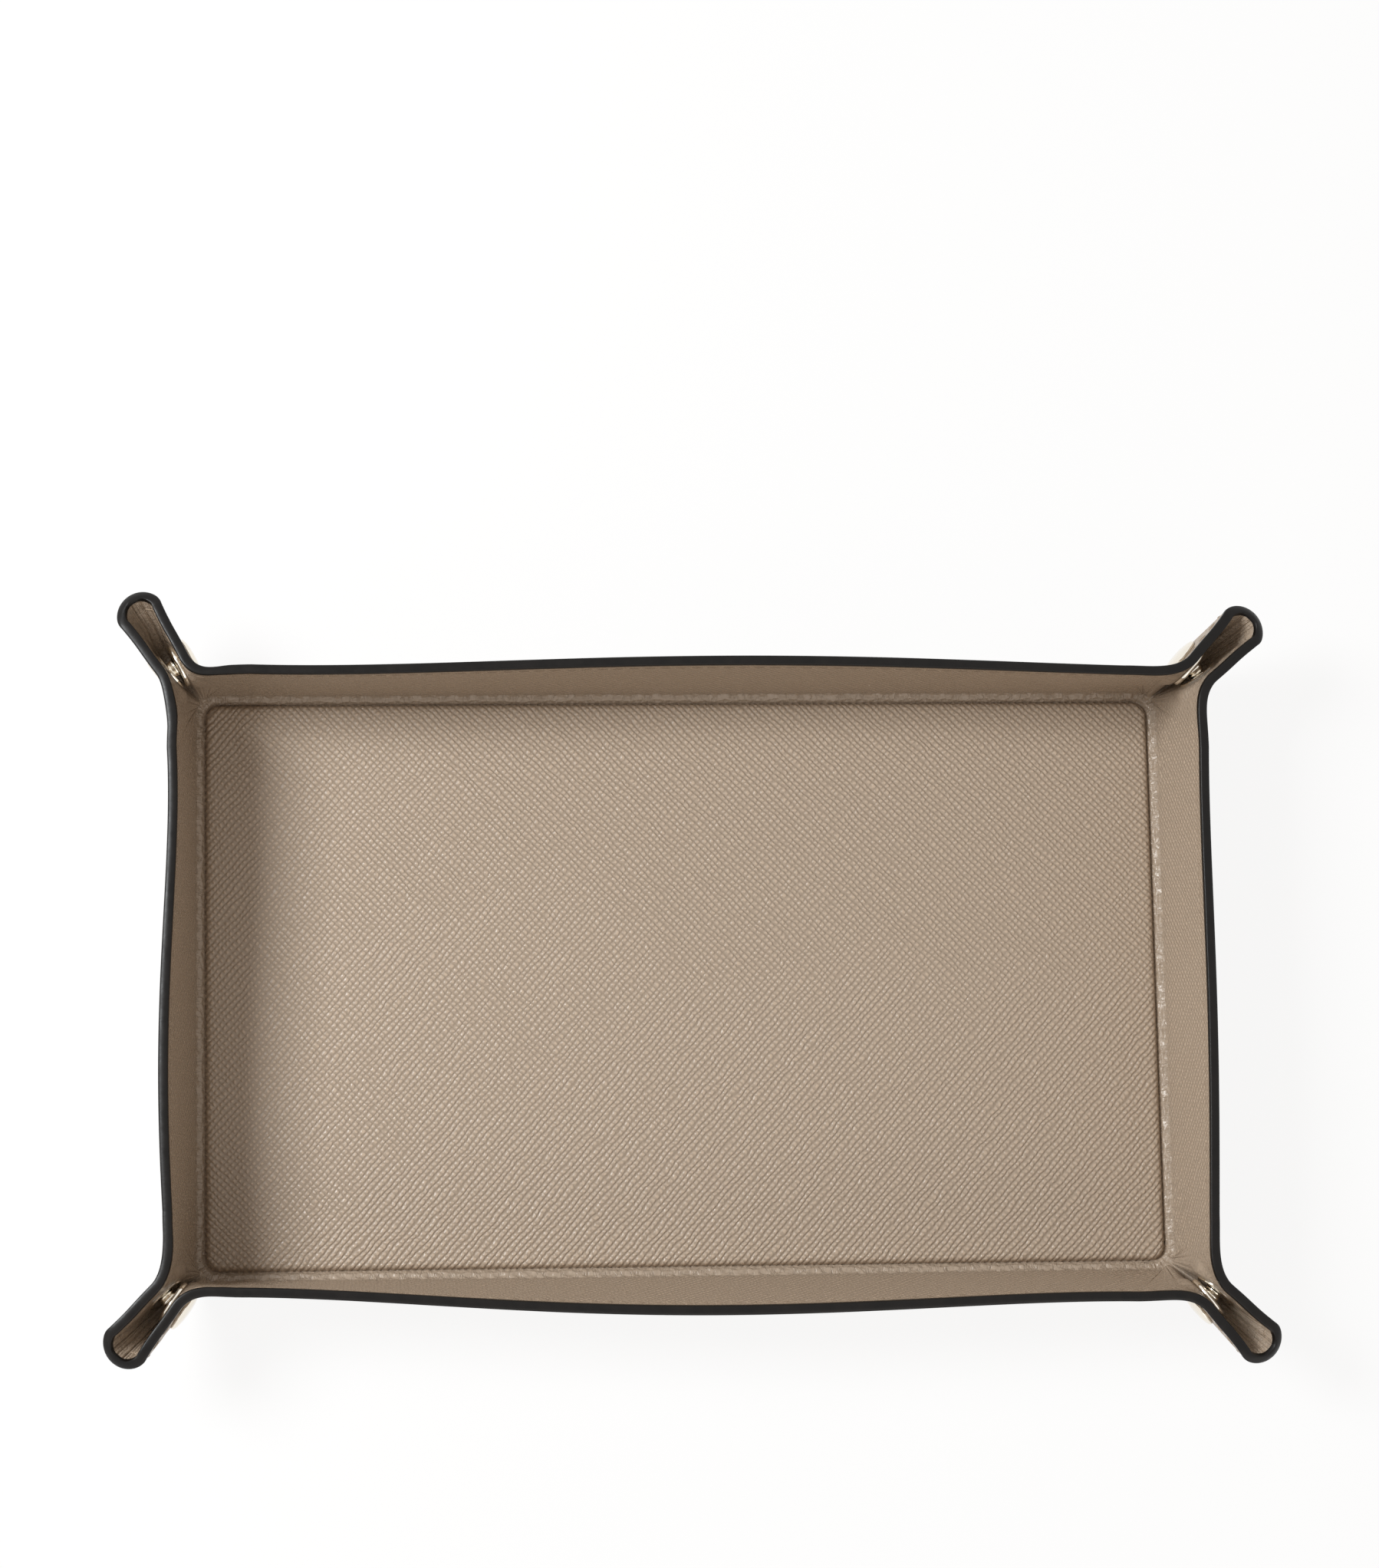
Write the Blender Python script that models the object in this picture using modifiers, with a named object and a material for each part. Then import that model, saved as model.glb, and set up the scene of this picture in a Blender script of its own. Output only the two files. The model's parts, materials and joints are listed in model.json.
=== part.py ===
"""Leather trinket tray with four snap corners.

One flat blank of leather, lined and stiffened, folds up along a groove round the floor.
Each corner is pinched outward into an ear that ends in a rounded loop, and a press stud
through both halves of the ear holds it. The panels are modelled flat, each in the frame
of the fold that carries it, and the empties at the folds turn them up.

Frame: metres, +X along the tray, +Y to its back wall, +Z up, origin under the middle.
"""

from math import acos, asin, atan2, cos, pi, radians, sin, sqrt, tan

import bmesh
import bpy
from mathutils import Matrix, Vector

MM = 0.001

# Floor panel, which the groove frames
FLOOR_LENGTH = 200.5 * MM
FLOOR_WIDTH = 118.5 * MM
FLOOR_CORNER = 3.0 * MM
FLOOR_EDGE_ROUND = 0.4 * MM

# Layers of the sheet
LINING = 0.8 * MM
COVER = 0.8 * MM
WALL_BOARD = 0.5 * MM
BASE_BOARD = 1.0 * MM
GLUE_LINE = 0.1 * MM
FOLD_GAP = 0.3 * MM
BOARD_MARGIN = 4.0 * MM
EDGE_BEAD = 0.5 * MM

# Walls, measured up their slope from the fold
WALL_REACH = 26.0 * MM
WALL_LEAN = radians(8.0)
WALL_BOW = 2.0 * MM
CORNER_RADIUS = 11.0 * MM

# Ears
EAR_FLARE = radians(3.0)
EAR_START = 3.0 * MM
LOOP_CONE = radians(5.6)
LOOP_FILL_SHARE = 0.9
PINCH_GAP = 0.6 * MM

# Press studs, placed from the bend at the wall's end and from the floor's fold
SNAP_OFFSET = 5.0 * MM
SNAP_RISE = 17.5 * MM
CAP_DIAMETER = 9.2 * MM
CAP_HEIGHT = 1.4 * MM
CAP_RIM = 0.5 * MM
SHANK_DIAMETER = 2.8 * MM
SHANK_PROUD = 0.15 * MM
HOLE_CLEARANCE = 0.3 * MM
SEAT_GAP = 0.1 * MM
SOCKET_DIAMETER = 9.2 * MM
SOCKET_HEIGHT = 1.2 * MM
SOCKET_BASE = 0.3 * MM
SOCKET_BORE = 4.6 * MM
SOCKET_POCKET = 5.8 * MM
SOCKET_LIP = 0.4 * MM
STUD_FLANGE_DIAMETER = 8.4 * MM
STUD_FLANGE = 0.35 * MM
STUD_DIAMETER = 3.8 * MM
STUD_HEIGHT = 2.1 * MM
STUD_WAIST = 3.4 * MM
POST_DIAMETER = 8.8 * MM
POST_HEIGHT = 0.6 * MM
METAL_ROUND = 0.2 * MM
CUT_OVERRUN = 1.0 * MM

# Counts of segments
BOW_STEPS = 12
NOSE_STEPS = 4
SECTOR_STEPS = 5
LOOP_STEPS = 6
TURN_STEPS = 20
HALVINGS = 40

# Sizes that follow from the ones above
SHEET = LINING + GLUE_LINE + WALL_BOARD + GLUE_LINE + COVER
EAR_SHEET = LINING + GLUE_LINE + COVER
FOLD_RADIUS = SHEET / 2
EAR_RADIUS = EAR_SHEET / 2
EAR_LIFT = FOLD_RADIUS - EAR_RADIUS
WALL_TURN = pi / 2 - WALL_LEAN
FOLD_X = FLOOR_LENGTH / 2 + FOLD_GAP + FOLD_RADIUS
FOLD_Y = FLOOR_WIDTH / 2 + FOLD_GAP + FOLD_RADIUS
EAR_INSET = FOLD_RADIUS * sin(WALL_TURN) + PINCH_GAP / sqrt(2)
WALL_END_GAP = EAR_RADIUS + FOLD_GAP
LEATHER_REACH = WALL_REACH - EDGE_BEAD - GLUE_LINE
BOARD_REACH = LEATHER_REACH - BOARD_MARGIN

# Colours and finishes
TAUPE = (0.40, 0.31, 0.24, 1.0)
COVER_TAUPE = (0.36, 0.28, 0.22, 1.0)
BLACK = (0.012, 0.011, 0.011, 1.0)
BOARD_GREY = (0.35, 0.33, 0.30, 1.0)
PALE_GOLD = (0.83, 0.72, 0.55, 1.0)


def make_material(name, colour, roughness, metallic):
    material = bpy.data.materials.new(name)
    material.use_nodes = True
    shader = material.node_tree.nodes["Principled BSDF"]
    shader.inputs["Base Color"].default_value = colour
    shader.inputs["Roughness"].default_value = roughness
    shader.inputs["Metallic"].default_value = metallic
    material.diffuse_color = colour
    return material


def clear_scene():
    for old in list(bpy.data.objects):
        bpy.data.objects.remove(old, do_unlink=True)


def new_collection(name):
    collection = bpy.data.collections.new(name)
    bpy.context.scene.collection.children.link(collection)
    return collection


def add_object(name, mesh, parent, materials):
    part = bpy.data.objects.new(name, mesh)
    part.parent = parent
    for material in materials:
        mesh.materials.append(material)
    PARTS.objects.link(part)
    return part


def add_empty(name, parent, matrix):
    empty = bpy.data.objects.new(name, None)
    empty.empty_display_size = EAR_START
    empty.parent = parent
    empty.matrix_local = matrix
    PARTS.objects.link(empty)
    return empty


def loft(name, rings, parent, materials):
    """Join like rings of points into one closed solid; the side from each ring's first
    point to its second is the sheet's painted edge and takes the second material."""
    mesh = bpy.data.meshes.new(name)
    bm = bmesh.new()
    rows = [[bm.verts.new(point) for point in ring] for ring in rings]
    bm.faces.new(rows[0])
    bm.faces.new(rows[-1])
    count = len(rows[0])
    for row, following in zip(rows, rows[1:]):
        for index in range(count):
            after = (index + 1) % count
            face = bm.faces.new((row[index], row[after], following[after], following[index]))
            face.material_index = 1 if index == 0 and len(materials) > 1 else 0
    bmesh.ops.recalc_face_normals(bm, faces=bm.faces)
    bmesh.ops.triangulate(bm, faces=bm.faces, quad_method="SHORT_EDGE")
    bm.to_mesh(mesh)
    bm.free()
    return add_object(name, mesh, parent, materials)


# The fold at a corner, in the frame of the long wall's end: X on along the wall, Y out of
# the tray, Z up. Its mirror image in the upright diagonal plane is the short wall's end.

def bend_direction():
    """Up the line where the wall ends and the ear begins."""
    level = cos(EAR_FLARE) * cos(WALL_TURN)
    return Vector((sin(EAR_FLARE), level, cos(EAR_FLARE) * sin(WALL_TURN)))


def wall_normal():
    """Out of the wall on its lining side."""
    return Vector((0, -sin(WALL_TURN), cos(WALL_TURN)))


def diagonal_direction(lean):
    """In the upright diagonal plane, leaning out from the vertical."""
    return Vector((sin(lean) / sqrt(2), sin(lean) / sqrt(2), cos(lean)))


def to_wall_side():
    """Square to the diagonal plane, to the side of the long wall."""
    return Vector((-1, 1, 0)) / sqrt(2)


def ear_fold(cone_lean):
    """Fold of an ear whose loop is a cone leaning out by cone_lean.

    Gives how far the ear half reaches round from its bend, how far the loop rolls, and the
    tangent line between them."""
    bend = bend_direction()
    axis = diagonal_direction(cone_lean)
    spread = bend.angle(axis)
    ear_reach = acos(cos(spread) / cos(LOOP_CONE))
    toward_bend = (bend - axis * bend.dot(axis)).normalized()
    aside = axis.cross(toward_bend)
    if aside.dot(to_wall_side()) < 0:
        aside = -aside
    swing = acos(tan(LOOP_CONE) / tan(spread))
    from_axis = toward_bend * cos(swing) + aside * sin(swing)
    tangent = axis * cos(LOOP_CONE) + from_axis * sin(LOOP_CONE)
    outward = diagonal_direction(cone_lean + pi / 2)
    return ear_reach, from_axis.angle(outward), tangent


def solve_ear():
    """Lean the loop's cone until bend, ear half and loop use up the blank's half corner."""
    bend = bend_direction()
    low = atan2(bend.x + bend.y, sqrt(2) * bend.z) + LOOP_CONE
    high = pi / 2
    for _ in range(HALVINGS):
        lean = (low + high) / 2
        ear_reach, loop_roll, tangent = ear_fold(lean)
        if EAR_FLARE + ear_reach + loop_roll * sin(LOOP_CONE) < pi / 4:
            low = lean
        else:
            high = lean
    normal = bend.cross(tangent).normalized()
    if normal.dot(to_wall_side()) > 0:
        normal = -normal
    return ear_reach, loop_roll, normal.angle(wall_normal())


EAR_REACH, LOOP_ROLL, EAR_TURN = solve_ear()


def bridge_width():
    """From the end of the loop's roll to the diagonal plane, less the gap there."""
    start = Vector((-EAR_INSET, 0, 0)) + wall_normal() * EAR_LIFT
    return start.dot(to_wall_side()) - PINCH_GAP / 2


def in_sheet(angle):
    """Unit direction in the ear's plane, turned from the bend toward the fold."""
    return Vector((sin(angle), cos(angle), 0))


def rim_distance(angle):
    """From the ear's root to the blank's edge along in_sheet(angle): a straight rim, then
    the blank's rounded corner."""
    turn = EAR_FLARE + angle
    centre_x = WALL_REACH - CORNER_RADIUS + EAR_INSET
    centre_y = WALL_REACH - CORNER_RADIUS
    straight = WALL_REACH / cos(turn)
    if straight * sin(turn) <= centre_x:
        return straight
    along = centre_x * sin(turn) + centre_y * cos(turn)
    across = centre_x * cos(turn) - centre_y * sin(turn)
    return along + sqrt(max(CORNER_RADIUS ** 2 - across ** 2, 0))


def nose_turns():
    """Turns along a rounded panel end, from near its tip to the flat of the panel."""
    first = pi / 8
    return [first + (pi / 2 - first) * step / NOSE_STEPS for step in range(NOSE_STEPS)]


# Floor

def rounded_outline(length, width, corner):
    """Flat closed curve of a rectangle with round corners."""
    curve = bpy.data.curves.new("outline", "CURVE")
    curve.dimensions = "2D"
    curve.fill_mode = "BOTH"
    curve.resolution_u = 4
    spline = curve.splines.new("BEZIER")
    spline.bezier_points.add(7)
    spline.use_cyclic_u = True
    pull = corner * 4 * (sqrt(2) - 1) / 3
    index = 0
    for turn in range(4):
        spin = Matrix.Rotation(turn * pi / 2, 3, "Z")
        half_x, half_y = (length / 2, width / 2) if turn % 2 == 0 else (width / 2, length / 2)
        before = Vector((half_x, half_y - corner, 0))
        after = Vector((half_x - corner, half_y, 0))
        for point, inward, onward in (
            (before, Vector((0, 0, 0)), Vector((0, pull, 0))),
            (after, Vector((pull, 0, 0)), Vector((0, 0, 0))),
        ):
            knot = spline.bezier_points[index]
            knot.co = spin @ point
            knot.handle_left = spin @ (point + inward)
            knot.handle_right = spin @ (point + onward)
            index += 1
    return curve


def floor_layer(name, inset, bottom, thickness, parent, materials):
    curve = rounded_outline(
        FLOOR_LENGTH - 2 * inset, FLOOR_WIDTH - 2 * inset, FLOOR_CORNER - inset
    )
    curve.extrude = thickness / 2
    source = bpy.data.objects.new(name + "_outline", curve)
    PARTS.objects.link(source)
    bpy.context.view_layer.update()
    mesh = bpy.data.meshes.new_from_object(source.evaluated_get(
        bpy.context.evaluated_depsgraph_get()))
    bpy.data.objects.remove(source, do_unlink=True)
    bm = bmesh.new()
    bm.from_mesh(mesh)
    bmesh.ops.remove_doubles(bm, verts=bm.verts, dist=GLUE_LINE / 100)
    bm.to_mesh(mesh)
    bm.free()
    mesh.name = name
    layer = add_object(name, mesh, parent, materials)
    layer.location.z = bottom + thickness / 2
    return layer


def build_floor(parent):
    floor_layer("floor_cover", 0, 0, COVER, parent, [COVER_LEATHER])
    board_bottom = COVER + GLUE_LINE
    floor_layer("floor_board", FLOOR_EDGE_ROUND, board_bottom, BASE_BOARD, parent, [BOARD])
    lining_bottom = board_bottom + BASE_BOARD + GLUE_LINE
    lining = floor_layer("floor_lining", 0, lining_bottom, LINING, parent, [LINING_LEATHER])
    edge = lining.modifiers.new("pressed edge", "BEVEL")
    edge.width = FLOOR_EDGE_ROUND
    edge.segments = 2
    edge.limit_method = "ANGLE"


# Walls

def bowed(flat, share, half_length):
    """Place a section (distance up the wall, height off its middle) at a share of the way
    to either end, where the wall flares, and bow it outward toward the rim's middle."""
    ring = []
    for y, z in flat:
        up = max(y, 0)
        x = share * (half_length + up * tan(EAR_FLARE))
        bow = WALL_BOW * (1 - share ** 2) * up / WALL_REACH
        ring.append(Vector((x, y, z - bow)))
    return ring


def layer_section(levels, low, high):
    """Section of a wall layer between two heights, through the given levels from its rim
    down. It ends in its part of the round nose that turns in the groove."""
    low_turn = asin(max(low / FOLD_RADIUS, -1))
    high_turn = asin(min(high / FOLD_RADIUS, 1))
    nose = []
    for step in range(NOSE_STEPS + 1):
        turn = high_turn + (low_turn - high_turn) * step / NOSE_STEPS
        if abs(turn) < pi / 2:
            nose.append((-FOLD_RADIUS * cos(turn), FOLD_RADIUS * sin(turn)))
    up_side = [(level, low) for level in reversed(levels)]
    down_side = [(level, high) for level in levels]
    return up_side[-1:] + down_side + nose + up_side[:-1]


def edge_section():
    """Section of the painted bead on the rim, rounded along its top."""
    base = WALL_REACH - EDGE_BEAD
    turns = [pi * step / (2 * NOSE_STEPS) for step in range(2 * NOSE_STEPS + 1)]
    return [(base + EDGE_BEAD * sin(turn), FOLD_RADIUS * cos(turn)) for turn in turns]


def along_wall(name, flat, half_length, parent, materials):
    shares = [2 * step / BOW_STEPS - 1 for step in range(BOW_STEPS + 1)]
    rings = [bowed(flat, share, half_length) for share in shares]
    return loft(name, rings, parent, materials)


def build_wall(name, out_turn, fold_distance, corner_distance, root):
    """One wall; the corner distance is from the wall's middle to the fold of its neighbour."""
    facing = Matrix.Rotation(out_turn - pi / 2, 4, "Z")
    place = Matrix.Translation((0, fold_distance, FOLD_RADIUS))
    hinge = add_empty(name + "_fold", root, facing @ place @ Matrix.Rotation(WALL_TURN, 4, "X"))
    root_x = corner_distance - EAR_INSET
    half_length = root_x - WALL_END_GAP
    lining_low = FOLD_RADIUS - LINING
    board_high = lining_low - GLUE_LINE
    leather_levels = [LEATHER_REACH, BOARD_REACH, 0]
    lining = layer_section(leather_levels, lining_low, FOLD_RADIUS)
    board = layer_section([BOARD_REACH, 0], board_high - WALL_BOARD, board_high)
    cover = layer_section(leather_levels, -FOLD_RADIUS, COVER - FOLD_RADIUS)
    along_wall(name + "_lining", lining, half_length, hinge, [LINING_LEATHER])
    along_wall(name + "_board", board, half_length, hinge, [BOARD])
    along_wall(name + "_cover", cover, half_length, hinge, [COVER_LEATHER])
    along_wall(name + "_edge", edge_section(), half_length, hinge, [EDGE_PAINT])
    return hinge, root_x


# Ears

def sided(points, side):
    return [Vector((side * point.x, point.y, point.z)) for point in points]


def ear_lines():
    """Pairs of points across the ear half, from its rounded bend end to its loop end: the
    point at the root and the point at the rim, with the share of the layer's height there."""
    lines = []
    for turn in nose_turns():
        x = -EAR_RADIUS * cos(turn)
        rim = (WALL_REACH + x * sin(EAR_FLARE)) / cos(EAR_FLARE)
        lines.append((Vector((x, EAR_START, 0)), Vector((x, rim, 0)), sin(turn)))
    trim = EAR_RADIUS + FOLD_GAP
    inner_end = EAR_REACH - asin(trim / EAR_START)
    outer_end = EAR_REACH - asin(trim / rim_distance(EAR_REACH))
    for step in range(SECTOR_STEPS + 1):
        share = step / SECTOR_STEPS
        inner = in_sheet(inner_end * share) * EAR_START
        outer = in_sheet(outer_end * share) * rim_distance(outer_end * share)
        lines.append((inner, outer, 1.0))
    return lines


def ear_layer(name, inner_face, outer_face, side, parent, materials):
    """A layer from the face next to the glue to the face that shows."""
    rings = []
    for root, rim, height_share in ear_lines():
        glued = Vector((0, 0, inner_face))
        shown = Vector((0, 0, outer_face * height_share))
        rings.append(sided([rim + glued, rim + shown, root + shown, root + glued], side))
    return loft(name, rings, parent, materials)


def cut_hole(part, centre, cutter_name):
    """Clear a round hole for a shank, straight through the layer."""
    bpy.ops.mesh.primitive_cylinder_add(
        vertices=TURN_STEPS,
        radius=SHANK_DIAMETER / 2 + HOLE_CLEARANCE,
        depth=EAR_SHEET + 2 * CUT_OVERRUN,
    )
    cutter = bpy.context.object
    cutter.name = cutter_name
    for collection in list(cutter.users_collection):
        collection.objects.unlink(cutter)
    CUTTERS.objects.link(cutter)
    cutter.parent = part.parent
    cutter.location = centre
    cutter.hide_render = True
    cutter.display_type = "WIRE"
    hole = part.modifiers.new("shank hole", "BOOLEAN")
    hole.operation = "DIFFERENCE"
    hole.object = cutter


def loop_hinge_matrix(side):
    """Frame of the loop's hinge in the ear's frame, with Y along the axis.

    A roll by a half turn of the loop about this axis brings the loop's free edge from the
    diagonal plane down to the crease of the flat blank."""
    radius = tan(LOOP_CONE)
    rolled = Vector((radius * sin(LOOP_ROLL), radius * (1 - cos(LOOP_ROLL))))
    flat = Vector((radius * LOOP_ROLL, 0))
    spin = Matrix.Rotation(-LOOP_ROLL / 2, 2)
    pivot = (Matrix.Identity(2) - spin).inverted() @ (flat - spin @ rolled)
    tangent = in_sheet(EAR_REACH)
    aside = in_sheet(EAR_REACH + pi / 2)
    axis = (tangent + aside * pivot.x + Vector((0, 0, pivot.y))).normalized()
    axis.x *= side
    level = Vector((0, 0, 1))
    across = axis.cross(level).normalized()
    up = across.cross(axis)
    frame = Matrix((across, axis, up)).transposed()
    return frame.to_4x4()


def loop_rings(side):
    """Sections of a loop half, each in a plane through its generator: the rounded start at
    the tangent line, the roll round the cone, and the bridge to the diagonal plane."""
    tangent = in_sheet(EAR_REACH)
    aside = in_sheet(EAR_REACH + pi / 2)
    upward = Vector((0, 0, 1))
    cone_axis = tangent * cos(LOOP_CONE) + upward * sin(LOOP_CONE)
    full_at = EAR_RADIUS / (LOOP_FILL_SHARE * sin(LOOP_CONE))
    root_height = EAR_START * sin(LOOP_CONE) * LOOP_FILL_SHARE

    def section(roll, shift, height_share):
        angle = EAR_REACH + roll * sin(LOOP_CONE)
        rim = rim_distance(angle)
        flat = [
            (rim, -EAR_RADIUS),
            (rim, EAR_RADIUS),
            (min(full_at, rim), EAR_RADIUS),
            (EAR_START, root_height),
            (EAR_START, -EAR_RADIUS),
        ]
        turn = Matrix.Rotation(-roll, 3, cone_axis)
        ring = []
        for distance, height in flat:
            point = tangent * distance + aside * shift + upward * height * height_share
            ring.append(turn @ point)
        return sided(ring, side)

    rings = [section(0, -EAR_RADIUS * cos(turn), sin(turn)) for turn in nose_turns()]
    rings += [section(LOOP_ROLL * step / LOOP_STEPS, 0, 1.0) for step in range(LOOP_STEPS + 1)]
    rings.append(section(LOOP_ROLL, bridge_width(), 1.0))
    return rings


def build_ear(name, wall, root_x, side):
    """The half of an ear that one wall carries, at its end on the given side."""
    flare = Matrix.Rotation(-side * EAR_FLARE, 4, "Z")
    turn = Matrix.Rotation(side * EAR_TURN, 4, "Y")
    place = Matrix.Translation((side * root_x, 0, EAR_LIFT))
    ear = add_empty(name + "_ear_bend", wall, place @ flare @ turn)
    glue = GLUE_LINE / 2
    lining = ear_layer(name + "_ear_lining", glue, EAR_RADIUS, side, ear,
                       [LINING_LEATHER, EDGE_PAINT])
    cover = ear_layer(name + "_ear_cover", -glue, -EAR_RADIUS, side, ear,
                      [COVER_LEATHER, EDGE_PAINT])
    snap_place = Vector((side * SNAP_OFFSET, SNAP_RISE, 0))
    cut_hole(lining, snap_place, name + "_lining_hole")
    cut_hole(cover, snap_place, name + "_cover_hole")
    hinge_frame = loop_hinge_matrix(side)
    loop = add_empty(name + "_loop_fold", ear, hinge_frame)
    back = hinge_frame.inverted()
    rings = [[back @ point for point in ring] for ring in loop_rings(side)]
    loft(name + "_loop", rings, loop, [LINING_LEATHER, EDGE_PAINT])
    return ear, snap_place


# Press studs, turned about Z with the lining side up

def turned(name, profile, closed, parent, place):
    """Spin a profile of radius and height about Z; it runs down the outer side."""
    mesh = bpy.data.meshes.new(name)
    bm = bmesh.new()
    points = [bm.verts.new((radius, 0, height)) for radius, height in profile]
    for first, second in zip(points, points[1:]):
        bm.edges.new((first, second))
    if closed:
        bm.edges.new((points[-1], points[0]))
    bm.to_mesh(mesh)
    bm.free()
    part = add_object(name, mesh, parent, [METAL])
    part.location = place
    spin = part.modifiers.new("turned", "SCREW")
    spin.axis = "Z"
    spin.steps = TURN_STEPS
    spin.render_steps = TURN_STEPS
    spin.use_merge_vertices = True
    spin.merge_threshold = METAL_ROUND / 100
    spin.use_smooth_shade = True
    return part


def snap_cap(name, parent, place):
    """Domed cap outside the ear, with the shank that holds the socket."""
    face = -EAR_RADIUS - SEAT_GAP
    shank = SHANK_DIAMETER / 2
    top = EAR_RADIUS + SEAT_GAP + SOCKET_BASE + SHANK_PROUD
    edge = CAP_DIAMETER / 2
    profile = [
        (0, top),
        (shank - METAL_ROUND, top),
        (shank, top - METAL_ROUND),
        (shank, face),
        (edge - METAL_ROUND, face),
        (edge, face - METAL_ROUND),
        (edge, face - CAP_RIM),
        (edge * cos(pi / 4), face - CAP_RIM - (CAP_HEIGHT - CAP_RIM) * sin(pi / 4)),
        (edge * cos(pi * 3 / 8), face - CAP_RIM - (CAP_HEIGHT - CAP_RIM) * sin(pi * 3 / 8)),
        (0, face - CAP_HEIGHT),
    ]
    return turned(name, profile, False, parent, place)


def snap_socket(name, parent, place):
    """Open cup on the lining: a thin base round the shank and a sprung lip."""
    base = EAR_RADIUS + SEAT_GAP
    top = base + SOCKET_HEIGHT
    edge = SOCKET_DIAMETER / 2
    hole = SHANK_DIAMETER / 2 + HOLE_CLEARANCE / 2
    profile = [
        (SOCKET_BORE / 2, top),
        (edge - METAL_ROUND, top),
        (edge, top - METAL_ROUND),
        (edge, base),
        (hole, base),
        (hole, base + SOCKET_BASE),
        (SOCKET_POCKET / 2, base + SOCKET_BASE),
        (SOCKET_POCKET / 2, top - SOCKET_LIP),
        (SOCKET_BORE / 2, top - SOCKET_LIP),
    ]
    return turned(name, profile, True, parent, place)


def snap_stud(name, parent, place):
    """Flange on the lining with the hollow ball that snaps into the socket."""
    base = EAR_RADIUS + SEAT_GAP
    top = base + STUD_HEIGHT
    ball = STUD_DIAMETER / 2
    waist = STUD_WAIST / 2
    edge = STUD_FLANGE_DIAMETER / 2
    hole = SHANK_DIAMETER / 2 + HOLE_CLEARANCE / 2
    roof = top - STUD_FLANGE
    profile = [
        (0, top),
        (ball - 2 * METAL_ROUND, top),
        (ball, top - 2 * METAL_ROUND),
        (ball, top - STUD_FLANGE - 2 * METAL_ROUND),
        (waist, base + STUD_FLANGE + METAL_ROUND),
        (waist, base + STUD_FLANGE),
        (edge - METAL_ROUND, base + STUD_FLANGE),
        (edge, base + STUD_FLANGE - METAL_ROUND),
        (edge, base),
        (hole, base),
        (hole, base + STUD_FLANGE),
        (hole - METAL_ROUND, roof),
        (0, roof),
    ]
    return turned(name, profile, False, parent, place)


def snap_post(name, parent, place):
    """Flat flange outside the ear, with the shank that holds the stud."""
    face = -EAR_RADIUS - SEAT_GAP
    shank = SHANK_DIAMETER / 2
    top = EAR_RADIUS + SEAT_GAP + STUD_FLANGE
    edge = POST_DIAMETER / 2
    profile = [
        (0, top),
        (shank, top),
        (shank, face),
        (edge - METAL_ROUND, face),
        (edge, face - METAL_ROUND),
        (edge, face - POST_HEIGHT + METAL_ROUND),
        (edge - METAL_ROUND, face - POST_HEIGHT),
        (0, face - POST_HEIGHT),
    ]
    return turned(name, profile, False, parent, place)


def build_tray():
    root = add_empty("leather_trinket_tray", None, Matrix.Identity(4))
    build_floor(root)
    long_walls = {"back": pi / 2, "front": -pi / 2}
    short_walls = {"right": 0, "left": pi}
    for wall, out_turn in long_walls.items():
        hinge, root_x = build_wall(wall + "_wall", out_turn, FOLD_Y, FOLD_X, root)
        for end in short_walls:
            side = 1 if (end == "right") == (wall == "back") else -1
            corner = wall + "_" + end
            ear, place = build_ear(corner + "_long", hinge, root_x, side)
            snap_cap(corner + "_snap_cap", ear, place)
            snap_socket(corner + "_snap_socket", ear, place)
    for wall, out_turn in short_walls.items():
        hinge, root_x = build_wall(wall + "_wall", out_turn, FOLD_X, FOLD_Y, root)
        for end in long_walls:
            side = 1 if (end == "front") == (wall == "right") else -1
            corner = end + "_" + wall
            ear, place = build_ear(corner + "_short", hinge, root_x, side)
            snap_stud(corner + "_snap_stud", ear, place)
            snap_post(corner + "_snap_post", ear, place)


clear_scene()
PARTS = new_collection("leather_trinket_tray")
CUTTERS = new_collection("cutters")
LINING_LEATHER = make_material("taupe cross-grain leather lining", TAUPE, 0.6, 0.0)
COVER_LEATHER = make_material("taupe cross-grain leather cover", COVER_TAUPE, 0.6, 0.0)
EDGE_PAINT = make_material("black edge paint", BLACK, 0.45, 0.0)
BOARD = make_material("bonded leather board", BOARD_GREY, 0.9, 0.0)
METAL = make_material("pale gold plated brass", PALE_GOLD, 0.25, 1.0)
build_tray()
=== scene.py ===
"""Looks of a leather trinket tray with four snap corners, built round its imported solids.

The tray is one blank of lined leather, folded up along a pressed groove. Each skin starts
as a flat grid cut like the blank and is laid on the fold, so the grain runs on unbroken
from the floor over the walls into the ears.
"""

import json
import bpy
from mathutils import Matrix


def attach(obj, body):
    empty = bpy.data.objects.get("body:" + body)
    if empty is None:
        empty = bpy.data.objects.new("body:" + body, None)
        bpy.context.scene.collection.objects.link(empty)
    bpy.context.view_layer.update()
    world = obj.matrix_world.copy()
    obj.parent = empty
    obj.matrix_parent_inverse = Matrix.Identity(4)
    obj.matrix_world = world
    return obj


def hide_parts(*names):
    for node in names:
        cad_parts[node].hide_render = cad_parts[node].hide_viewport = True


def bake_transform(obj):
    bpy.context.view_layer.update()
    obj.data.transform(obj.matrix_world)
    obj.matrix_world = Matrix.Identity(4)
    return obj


bl_info = {
    "name": "Leather Trinket Tray",
    "version": (1, 0, 0),
    "blender": (4, 5, 0),
    "location": "View3D > Sidebar > Tray",
    "description": "Builds a folded leather trinket tray with snap corners on its solids",
    "category": "Add Mesh",
}

from math import cos, pi, radians, sin, sqrt, tan

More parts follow.
